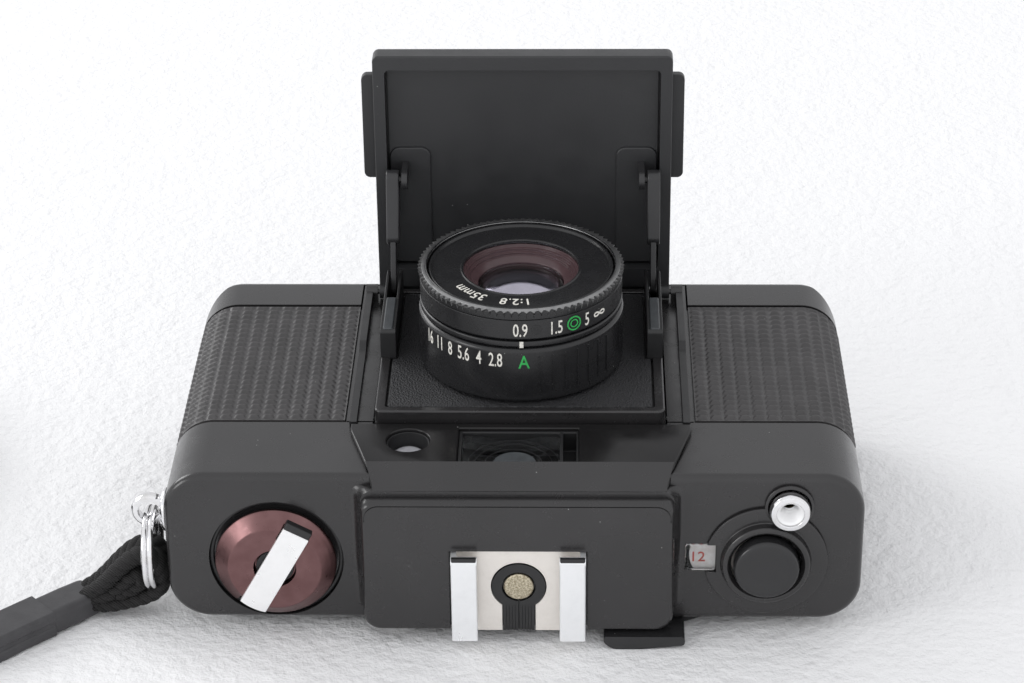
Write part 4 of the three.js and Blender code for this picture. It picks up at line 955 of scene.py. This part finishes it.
def make_lens_rings():
    barrel = [(9.6, 29.3), (11.6, 29.3), (11.6, 41.1), (15.8, 41.1), (16, 41.25), (16, 41.95), (15.8, 42.1),
              (11.6, 42.1), (11.6, 45.8), (9.6, 45.8), (9.6, 29.3)]
    lens_piece(barrel, "lens_barrel_wall", "lens", "lens_black", "lens_barrel", steps=180, ease=0.12)

    ring = [(11.9, 31.6), (16, 31.6), (16.2, 31.9), (16.2, 40.35), (15.95, 40.7), (15.6, 40.9), (11.9, 40.9),
            (11.9, 31.6)]
    aperture = lathe(ring, steps=240, ease=0.2)
    ribs = [turned(shift(block(-0.1, 0.1, -16.38, -15, 33.2, 39.6)), angle, "Z") for angle in (11, 18.5, 26,
                                                                                               33.5, 41, 48.5,
                                                                                               56)]
    place(fuse(aperture, *ribs), "aperture_ring_grip", "lens", "lens_black", "aperture_ring",
          body="aperture_ring", edge=0.05)

    focus = [(11.9, 42.4), (15.85, 42.4), (15.95, 42.6), (15.95, 45.75), (15.4, 45.8), (15.1, 46.2),
             (15.1, 47.4), (14.9, 47.5), (14.8, 45.85), (11.9, 45.85), (11.9, 42.4)]
    lens_piece(focus, "focus_ring_body", "lens", "lens_black", "focus_ring", body="focus_ring", ease=0.08)
    band = [(15, 45.75), (15.8, 45.75), (15.95, 45.9), (15.95, 46.9), (15.7, 47.22), (15, 47.22), (15, 45.75)]
    lens_piece(band, "focus_ring_band", "lens", "lens_black", body="focus_ring", ease=0.05)
    count, points, faces = 88, [], []
    for s in range(count):
        for share, r, height in ((-0.48, 15.6, 47.3), (0.48, 15.6, 47.3), (0, 16.3, 47.2), (0, 15.9, 46)):
            turn = 2 * math.pi * (s + share) / count
            points.append((r * math.cos(turn), r * math.sin(turn), height))
        left, right, tip, foot = range(4 * s, 4 * s + 4)
        faces += [(left, tip, right), (left, foot, tip), (tip, foot, right), (left, right, foot)]
    # the teeth and the rim take the light rim metal, a painted highlight on the black-painted ring
    place(new_piece(points, faces), "focus_ring_teeth", "rim_highlight_metal", "lens_black", body="focus_ring", sharp=10)
    rim = lathe([(14.85, 47), (15.7, 47), (15.65, 47.32), (15.2, 47.42), (14.95, 47.36), (14.85, 47.2),
                 (14.85, 47)], steps=240, ease=0.04)
    place(rim, "focus_ring_rim", "rim_highlight_metal", "lens_black", body="focus_ring")
    screw = lathe([(0, 0), (0.78, 0), (0.78, 0.1), (0.25, 0.1), (0.2, -0.2), (0, -0.2)], "y", (0, 0), 32)
    screw.data.transform(Matrix.Scale(-1, 4, (0, 1, 0)))
    place(turned(shift(screw, 0, -15.93, 44.15), 9.5, "Z"), "focus_set_screw", "satin", "lens_black",
          body="focus_ring", edge=0.05)

    name_ring = [(9.9, 46.25), (14.55, 46.25), (14.55, 47), (14.4, 47.15), (14.15, 47.1), (13.9, 46.75),
                 (9.6, 46.75), (9.35, 46.9), (9.1, 46.75), (9.1, 46.25), (9.9, 46.25)]
    lens_piece(name_ring, "name_ring_face", "lens", "lens_black", "name_ring", steps=180, ease=0.08)
    cone = [(9.3, 41.2), (9.3, 46.2), (9, 46.2), (8.85, 45.75), (8.45, 45.7), (8.4, 45.25), (8.05, 45.2),
            (8, 44.8), (7.65, 44.75), (6.8, 44.1), (6.75, 43.9), (6.72, 41.2), (9.3, 41.2)]
    lens_piece(cone, "inner_baffle_cone", "baffle", "baffle_brown", "inner_baffle", edge=0.05, sharp=20,
               steps=160)
    dome = [(0, 42), (6.7, 42), (6.7, 43.9)]
    dome += [(r, 45.3 - r * r / 32) for r in (6.6, 5.8, 5, 4.3, 3.6, 2.8, 1.9, 0.9)] + [(0, 45.3)]
    lens_piece(dome, "front_lens_glass", "coated", "coated_glass", "front_lens", steps=128)
    inner = [(0, 41), (6.5, 41), (6.5, 42.9)]
    inner += [(r, 44.6 - r * r / 26) for r in (6.4, 5.6, 4.8, 4, 3.2, 2.4, 1.6, 0.8)] + [(0, 44.6)]
    lens_piece(inner, "inner_lens_glass", "mirror", "coated_glass", steps=96)
    stop = [(2.6, 34.4), (9.5, 34.4), (9.5, 34.7), (2.6, 34.7), (2.6, 34.4)]
    lens_piece(stop, "aperture_blades", "steel_black", "lens_black", steps=96)


def make_lens_marks():
    focus_r, aperture_r, high = 16, 16.25, 43.35
    for text, angle, name in (("0.9", 0.6, "near"), ("1.5", 21.2, "mid"), ("5", 40.6, "far")):
        ring_ink("focus_mark_" + name, glyphs(text, 3.1), focus_r, angle, high - 0.3, "focus_ring", "white",
                 0.62)
    for i, (radius, width) in enumerate(((1.12, 0.24), (0.6, 0.2))):
        points, faces = circle_line(radius, width)
        ring_ink(f"focus_circle_{i + 1}", ([(x, y + 0.78, z) for x, y, z in points], faces), focus_r, 31.8,
                 high, "focus_ring", "green", 1)
    points, faces = endless(2.6, 0.62, 0.26)
    ring_ink("focus_mark_endless", ([(x, y + 0.78, z) for x, y, z in points], faces), focus_r, 50.3, high,
             "focus_ring", "white", 0.9)
    index = ([(-0.3, 0, 0), (0.3, 0, 0), (0.3, 1.05, 0), (-0.3, 1.05, 0)], [(0, 1, 2, 3)])
    ring_ink("index_line", index, 16.05, 1.2, 41.1, "lens_carriage", "white", 1)
    ring_ink("aperture_mark_auto", glyphs("A", 3.2), aperture_r, 2.5, 37.6, "aperture_ring", "green", 0.8)
    for text, angle in (("2.8", -13.2), ("4", -22.9), ("5.6", -32.5), ("8", -41.8), ("11", -50.3),
                        ("16", -59.5)):
        ring_ink("aperture_mark_" + text.replace(".", "_"), glyphs(text, 3.3), aperture_r, angle, 37.75,
                 "aperture_ring", "white", 0.56)
    disc_ink("lens_mark_speed", "1:2.8", 2.75, 10.8, 184)
    disc_ink("lens_mark_length", "35mm", 2.75, 10.8, 222)


# ------------------------------------------------------------------ lens board
def make_board():
    board = slab(rect(-BOARD.half, BOARD.top, BOARD.half, BOARD.bottom, 1.2), "z", BOARD.low, BOARD.rim,
                 edge_high=0.3, steps=4)
    carve(board, slab(rect(-20.9, BOARD.top + 1.3, 20.9, BOARD.bottom - 1.3, 0.6), "z", BOARD.plate, 40),
          block(-20.9, 20.9, BOARD.top + 1.3, BOARD.bottom - 1.3, 20, BOARD.plate - 1.2),
          rod("z", (0, 0), 12, 20, 40, 96))
    place(board, "lens_board_frame", "body", "board_black", "lens_board", body="lens_carriage", edge=0.12)

    panel = slab(rect(-20.6, BOARD.top + 1.6, 20.6, BOARD.bottom - 1.6, 0.5), "z", BOARD.plate + 0.1,
                 BOARD.plate + 0.75, edge_high=0.25, steps=3)
    carve(panel, rod("z", (0, 0), 15, 20, 40, 128),
          *[block(*span(side, 19.7, 30), -1.7, 21.1, 25, 45) for side in SIDES])
    place(panel, "lens_panel_skin", "board", "board_leatherette", "lens_panel", body="lens_carriage",
          edge=0.1)

    for side, name in SIDES.items():
        low = BOARD.plate - 0.1
        a, b = span(side, 20, 22.5)
        outline = eased([(-1.4, low), (20.8, low), (20.8, 34.6), (19.6, 36.1), (-1.4, 36.1), (-1.4, low)],
                        0.7, 5)[:-1]
        channel = prism(outline, "x", a, b)
        carve(channel, block(a + 0.45, b - 0.45, 8.8, 30, BOARD.rim, 40))
        place(channel, f"bracket_{name}_channel", "satin", "board_black", body="lens_carriage", edge=0.1)
        pad = slab(rect(a + 0.45, -1, b - 0.45, 9.5, 0.3), "z", 35.9, 36.3, edge_high=0.2, steps=3)
        place(pad, f"bracket_{name}_pad", "pad", "board_black", body="lens_carriage", edge=0.05)


# ------------------------------------------------------------------ front door
def make_door():
    y0, y1 = DOOR.y, DOOR.y + DOOR.thick
    half, low, high = DOOR.half, DOOR.low, DOOR.high
    door = slab(rect(-half, low, half, high, [0.1, 0.1, 1, 1]), "y", y0, y1, 0.2, 0.5, 4)
    wings = slab(rect(-26.2, 50, 26.2, 68.4, 1), "y", y0 + 1.9, y1, 0.15, 0.4, 4)
    bevel_cut = prism([(y0 - 1, high - 1.15), (y0 + 1.35, high + 1), (y0 - 1, high + 1)], "x", -40, 40)
    pocket = slab(rect(-half + 1.9, 34, half - 1.9, high - 2.4, 0.8), "y", y0 - 1, y0 + 2.9)
    inner = slab(rect(-22.05, 34.2, 22.05, high - 2.7, 0.6), "y", y0 + 2.6, y0 + 3.1)
    carve(door, bevel_cut)
    door = fuse(door, wings)
    door = fuse(door, slab(rect(-20.9, 28.75, 20.9, 30.6, 0.2), "y", y0 + 1, y1 - 0.4, 0.2, 0.2, 3))
    carve(door, pocket, inner, block(-25.2, 25.2, 20, y0 + 0.9, 27, 30.7))
    knuckles = [rod("x", (DOOR.y, DOOR.z), 1.2, *span(side, 21.2, half), 48) for side in SIDES]
    door = fuse(door, *knuckles)
    carve(door, rod("x", (DOOR.y, DOOR.z), 0.75, -30, 30, 32))
    place(door, "front_door_shell", "door", "door_black", "front_door", body="front_door", edge=0.16)

    y = y0 + 2.6
    liner = slab(rect(-22, 34.3, 22, high - 2.7, 0.5), "y", y - 0.5, y, 0.08, 0, 3)
    for side, name in SIDES.items():
        a, b = span(side, 15.2, 21.9)
        pad = slab(rect(a, 34.5, b, 55.5, 1.6), "y", y - 0.95, y - 0.45, 0.25, 0, 4)
        place(pad, "door_liner_pad_" + name, "door", "door_black", body="front_door")
    place(liner, "door_liner_sheet", "door", "door_black", "door_liner", body="front_door", edge=0.06)
    for side, name in SIDES.items():
        ear = fuse(block(*span(side, 18.9, 19.8), STRUT.y, y - 0.4, STRUT.z - 1.6, STRUT.z + 1.6),
                   rod("x", (STRUT.y, STRUT.z), 1.6, *span(side, 18.9, 19.8), 48),
                   rod("x", (STRUT.y, STRUT.z), 0.6, *span(side, 19.4, 22), 32))
        place(ear, f"strut_{name}_ear", "steel_black", "door_black", body="front_door", edge=0.12)


def make_strut(side):
    name = "strut_" + SIDES[side]
    drop, back = STRUT.z - STRUT.foot_z, STRUT.y - STRUT.foot_y
    length, lean = math.hypot(drop, back), math.degrees(math.atan2(back, drop))
    x = STRUT.x * side
    blade = slab(rect(-1.2, -length - 1.1, 1.2, 1.4, 1.15), "x", x - 0.45, x + 0.45, 0.12, 0.12, 3)
    head = slab(rect(-1.5, -10.8, 1.5, 1.6, 1.45), "x", x - 1.05, x + 1.05, 0.25, 0.25, 4)
    strut = carve(fuse(blade, head), rod("x", (0, 0), 0.85, x - 2, x + 2, 40))
    turned(strut, -lean, "X")
    place(shift(strut, 0, STRUT.y, STRUT.z), name + "_link", "steel_black", "steel_black", name, body=name,
          edge=0.08)


# ------------------------------------------------------------------ casing and back
def hinge_ear(side):
    y, z = DOOR.y, DOOR.z
    a, b = span(side, 24.5, 26.4)
    return fuse(block(a, b, y - 1.2, y + 1.2, 27.5, z), rod("x", (y, z), 1.2, a, b, 48),
                rod("x", (y, z), 0.5, *span(side, 21.6, 25), 32))


def make_casing():
    inset, low = 0.9, 7.9
    y0, y1 = TOP_SPLIT + GAP / 2, BASE_SPLIT - GAP / 2
    left, right, front = BODY.left, BODY.right, BODY.front
    shell = slab(rect(left + inset, low, right - inset, front - inset, [0.05, 0.05, 5.6, 5.6], 14), "y", y0,
                 y1)
    feet = block(left, right, y0, y1, low, low + 1.3)
    plain = block(-FRAME_HALF, FRAME_HALF, y0, BODY.bottom - 2.1, 26.1, front)
    inside = slab(rect(left + 2.4, -5, right - 2.4, front - 2.4, [0.05, 0.05, 4.2, 4.2], 10), "y", y0 - 1,
                  y1 + 9)
    carve(inside, block(-60, 60, y0 - 2, y1 + 10, 26.1, 30))
    casing = fuse(shell, feet, plain, hinge_ear(-1), hinge_ear(1))
    carve(casing, inside, block(-WELL.half, WELL.half, y0 - 1, WELL.bottom, 20, 32))
    place(casing, "front_casing_shell", "body", "body_black", "front_casing", edge=0.12)
    wall = block(-WELL.half - 0.8, WELL.half + 0.8, y0, WELL.bottom + 0.8, 19.5, 26.4)
    carve(wall, block(-WELL.half, WELL.half, y0 - 1, WELL.bottom, 19, 27))
    place(wall, "well_wall", "satin", "satin_black", edge=0.1)


def make_back():
    y0, y1, lip = -19.9, 28.3, 7.6
    left, right = BODY.left, BODY.right
    tray = slab(rect(left, 0, right, 30, [9, 9, 0.05, 0.05], 16), "y", y0, y1, 0.5, 0.5, 4)
    combined(tray, "INTERSECT", [block(-60, 60, y0 - 1, y1 + 1, -1, lip)])
    inner = slab(rect(left + 1.8, 1.7, right - 1.8, 30, [7.3, 7.3, 0.05, 0.05], 14), "y", y0 - 1, y1 + 1)
    carve(tray, inner)
    tray = fuse(tray, block(-48, 46, y1 - 1.2, y1 - 0.1, 0.8, 2.4), block(-51.4, -50.9, -2, 6, 4, 10.8))
    axis = (52.7, 7.75)
    carve(tray, *[rod("y", axis, 1.5, y - 4.4, y + 4.4, 40) for y in (-8, 20)],
          block(-53, -50, 0, 4, 8.4, 9.6))
    knuckle = fuse(rod("y", axis, 1.1, -2.9, 11.2, 48), block(50.9, 52.7, -2.9, 11.2, 5.5, 7.55))
    tray = fuse(tray, knuckle)
    carve(tray, rod("y", axis, 0.75, -40, 40, 32),
          *[block(x - 0.25, x + 0.25, -12, 20, -1, 0.25) for x in (-38, 36)])
    place(tray, "back_door_tray", "body", "body_black", "back_door", body="back_door", edge=0.14)


# ------------------------------------------------------------------ strap
def smooth_line(knots, step):
    """Points about a step apart on a curve through the knots."""
    points = []
    for i in range(len(knots) - 1):
        p0, p1 = Vector(knots[max(i - 1, 0)]), Vector(knots[i])
        p2, p3 = Vector(knots[i + 1]), Vector(knots[min(i + 2, len(knots) - 1)])
        count = max(2, round((p2 - p1).length / step))
        for s in range(count):
            t = s / count
            points.append(0.5 * (2 * p1 + (p2 - p0) * t + (2 * p0 - 5 * p1 + 4 * p2 - p3) * t * t
                                 + (3 * p1 - p0 - 3 * p2 + p3) * t ** 3))
    return points + [Vector(knots[-1])]


def run_lengths(line):
    """The distance along the line to each of its points."""
    lengths = [0]
    for a, b in zip(line, line[1:]):
        lengths.append(lengths[-1] + (b - a).length)
    return lengths


def heading_at(line, i):
    return (line[min(i + 1, len(line) - 1)] - line[max(i - 1, 0)]).normalized()


def make_band():
    """The flat strap: lying flat at its cap, on edge round its loop."""
    line = smooth_line(STRAP_ROUTE, 0.9)
    lengths = run_lengths(line)
    wide, thick = STRAP.width, STRAP.thick
    rings = []
    for i, (point, s) in enumerate(zip(line, lengths)):
        ahead = heading_at(line, i)
        side = Vector((-ahead.y, ahead.x, 0)).normalized()
        over = ahead.cross(side) * -1
        over = over if over.z > 0 else -over
        from_cap = min(s, lengths[-1] - s)
        stand = math.pi / 2 * min(1, max(0, (from_cap - 12) / 16))
        across = side * math.cos(stand) + over * math.sin(stand)
        normal = across.cross(ahead)
        ring = rounded(-wide / 2, -thick / 2, wide / 2, thick / 2, 0.55, 0, 4)
        rings.append([point + across * a + normal * b for a, b in ring])
    band = loft(rings)
    place(band, "strap_band_tube", "leather", "strap_leather", "strap_band", "strap_loop", sharp=60)
    return band, [tuple(p * MM) for p in line]


def along_heading(distance, across, z):
    turn = math.radians(STRAP.heading)
    x, y = STRAP.cap
    return (x + distance * math.cos(turn) - across * math.sin(turn),
            y + distance * math.sin(turn) + across * math.cos(turn), z)


def make_cap():
    rings = []
    for d, inset in ((0, 0.9), (0.12, 0.5), (0.4, 0.22), (0.9, 0.12), (4.5, 0), (8.4, 0), (9, 0.15),
                     (9.1, 0.03), (21.5, 0.03)):
        wide, high = 1 - inset / 3.4, 1 - inset / 2.3
        rings.append([along_heading(d, a * wide, 2.3 + (z - 2.3) * high) for a,
                      z in rounded(-3.2, 0, 3.2, 4.2, 1.2, 0, 6)])
    return place(loft(rings), "strap_cap_sleeve", "leather", "strap_leather", "strap_cap", edge=0.1)


# Centre lines of the plaited loop and its filled middle, as (x, z).
BRAID_ROUTE = [(-68.4, 2.4), (-66.6, 2.2), (-64.8, 2.3), (-61, 3.2), (-58, 4.2), (-56.1, 5.6), (-55.5, 7.9),
               (-56, 10.2), (-57.8, 11.5), (-60.2, 10.7), (-62.6, 8.5), (-64.8, 6), (-66.8, 4.1),
               (-68.4, 3.1)]
BRAID_CORE = [(-68, 2.8), (-64.5, 4.1), (-62, 6.1), (-60, 7.9), (-58.9, 7), (-59.9, 5.8), (-62.6, 4.5)]


def plait(route):
    """Five strands plaited flat along a route of (x, z) points, turned where the cap takes them."""
    line = smooth_line([(x, 0, z) for x, z in route], 0.25)
    strands, count, pitch = [], 5, 8
    for strand in range(count):
        centre, outs, rings = [], [], []
        for i, (point, s) in enumerate(zip(line, run_lengths(line))):
            ahead = heading_at(line, i)
            out = Vector((-ahead.z, 0, ahead.x))
            phase = 2 * math.pi * (s / pitch + strand / count)
            lean = min(1, max(0, -64 - point.x) / 4)
            middle = point + out * 0.5 * math.sin(2 * phase)
            middle.y = LUG[1] + 2.5 * (1 - 0.3 * lean) * math.sin(phase) + 0.35 * lean
            centre.append(middle)
            outs.append(out)
        for i, (middle, out) in enumerate(zip(centre, outs)):
            ahead = heading_at(centre, i)
            side = ahead.cross(out).normalized()
            up = side.cross(ahead).normalized()
            rings.append([middle + side * 1.1 * math.cos(t) + up * 0.85 * math.sin(t)
                          for t in round_turn(12)])
        strands.append(loft(rings))
    return strands


def make_braid():
    braid = gather(plait(BRAID_ROUTE) + plait(BRAID_CORE))
    return place(braid, "strap_braid_cord", "cord", "braid_cord", "strap_braid", sharp=60)


def make_ring():
    wires = []
    for offset in (-0.45, 0.45):
        profile = [(6.2 + 0.5 * math.cos(t), offset + 0.47 * math.sin(t)) for t in round_turn(16)]
        wires.append(lathe([(r, LUG[0] + h) for r, h in profile + profile[:1]], "x", (LUG[1], 11.9), 96))
    return place(gather(wires), "split_ring_wire", "chrome", "bright_chrome", "split_ring")


def make_lug():
    x, y, z = LUG
    base = lathe([(0, -55.1), (2.9, -55.1), (3.4, -54.7), (3.4, -54.3), (0, -54.3)], "x", (y, z), 64, 0.15)
    eye = fuse(lathe([(0, y - 0.8), (2.5, y - 0.8), (2.8, y - 0.5), (2.8, y + 0.5), (2.5, y + 0.8),
                      (0, y + 0.8)], "y", (x, z), 64, 0.2),
               block(x, -54.6, y - 0.8, y + 0.8, z - 2.2, z + 2.2))
    carve(eye, rod("y", (x, z), 1.75, -40, -20, 48))
    place(fuse(base, eye), "strap_lug_eye", "chrome", "bright_chrome", "strap_lug", edge=0.12)


# ------------------------------------------------------------------ carried-over nodes
CARRIED = {
    "eyepiece_frame": "satin", "finder_tunnel": "satin", "wind_gear": "brass", "spool_gear": "brass",
    "rewind_shaft": "steel", "latch_bar": "steel", "shutter_unit": "satin", "rear_lens": "coated",
    "film_chassis": "alloy", "take_up_spool": "satin", "sprocket": "steel", "back_door_pin": "steel",
    "pressure_plate": "satin", "plate_spring": "steel", "tripod_bush": "chrome", "battery_cover": "steel",
    "battery_cells": "steel", "rewind_release": "steel",
}


def finish_carried():
    for name, look in CARRIED.items():
        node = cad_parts[name]
        node.data.materials.clear()
        node.data.materials.append(LOOK[look])
        bevel(node, 0.08, 40, 2)


def make_floor():
    floor = bpy.data.meshes.new("floor")
    floor.from_pydata([(-4, -4, 0), (4, -4, 0), (4, 4, 0), (-4, 4, 0)], [], [(0, 1, 2, 3)])
    floor.materials.append(LOOK["floor"])
    linked("floor", floor)


# ------------------------------------------------------------------ the scene
make_camera()
make_light()
LOOK.update(make_finishes())

strap, strap_path = make_band()
cap, braid, ring = make_cap(), make_braid(), make_ring()

make_lug()
make_casing()
make_top_cover()
make_base_cover()
make_back()
for side in SIDES:
    make_grip(side)
    make_rail(side)
    make_strut(side)
make_finder()
make_shoe()
make_release()
make_lever()
make_rewind()
make_lens_rings()
make_lens_marks()
make_board()
make_door()
finish_carried()
make_floor()
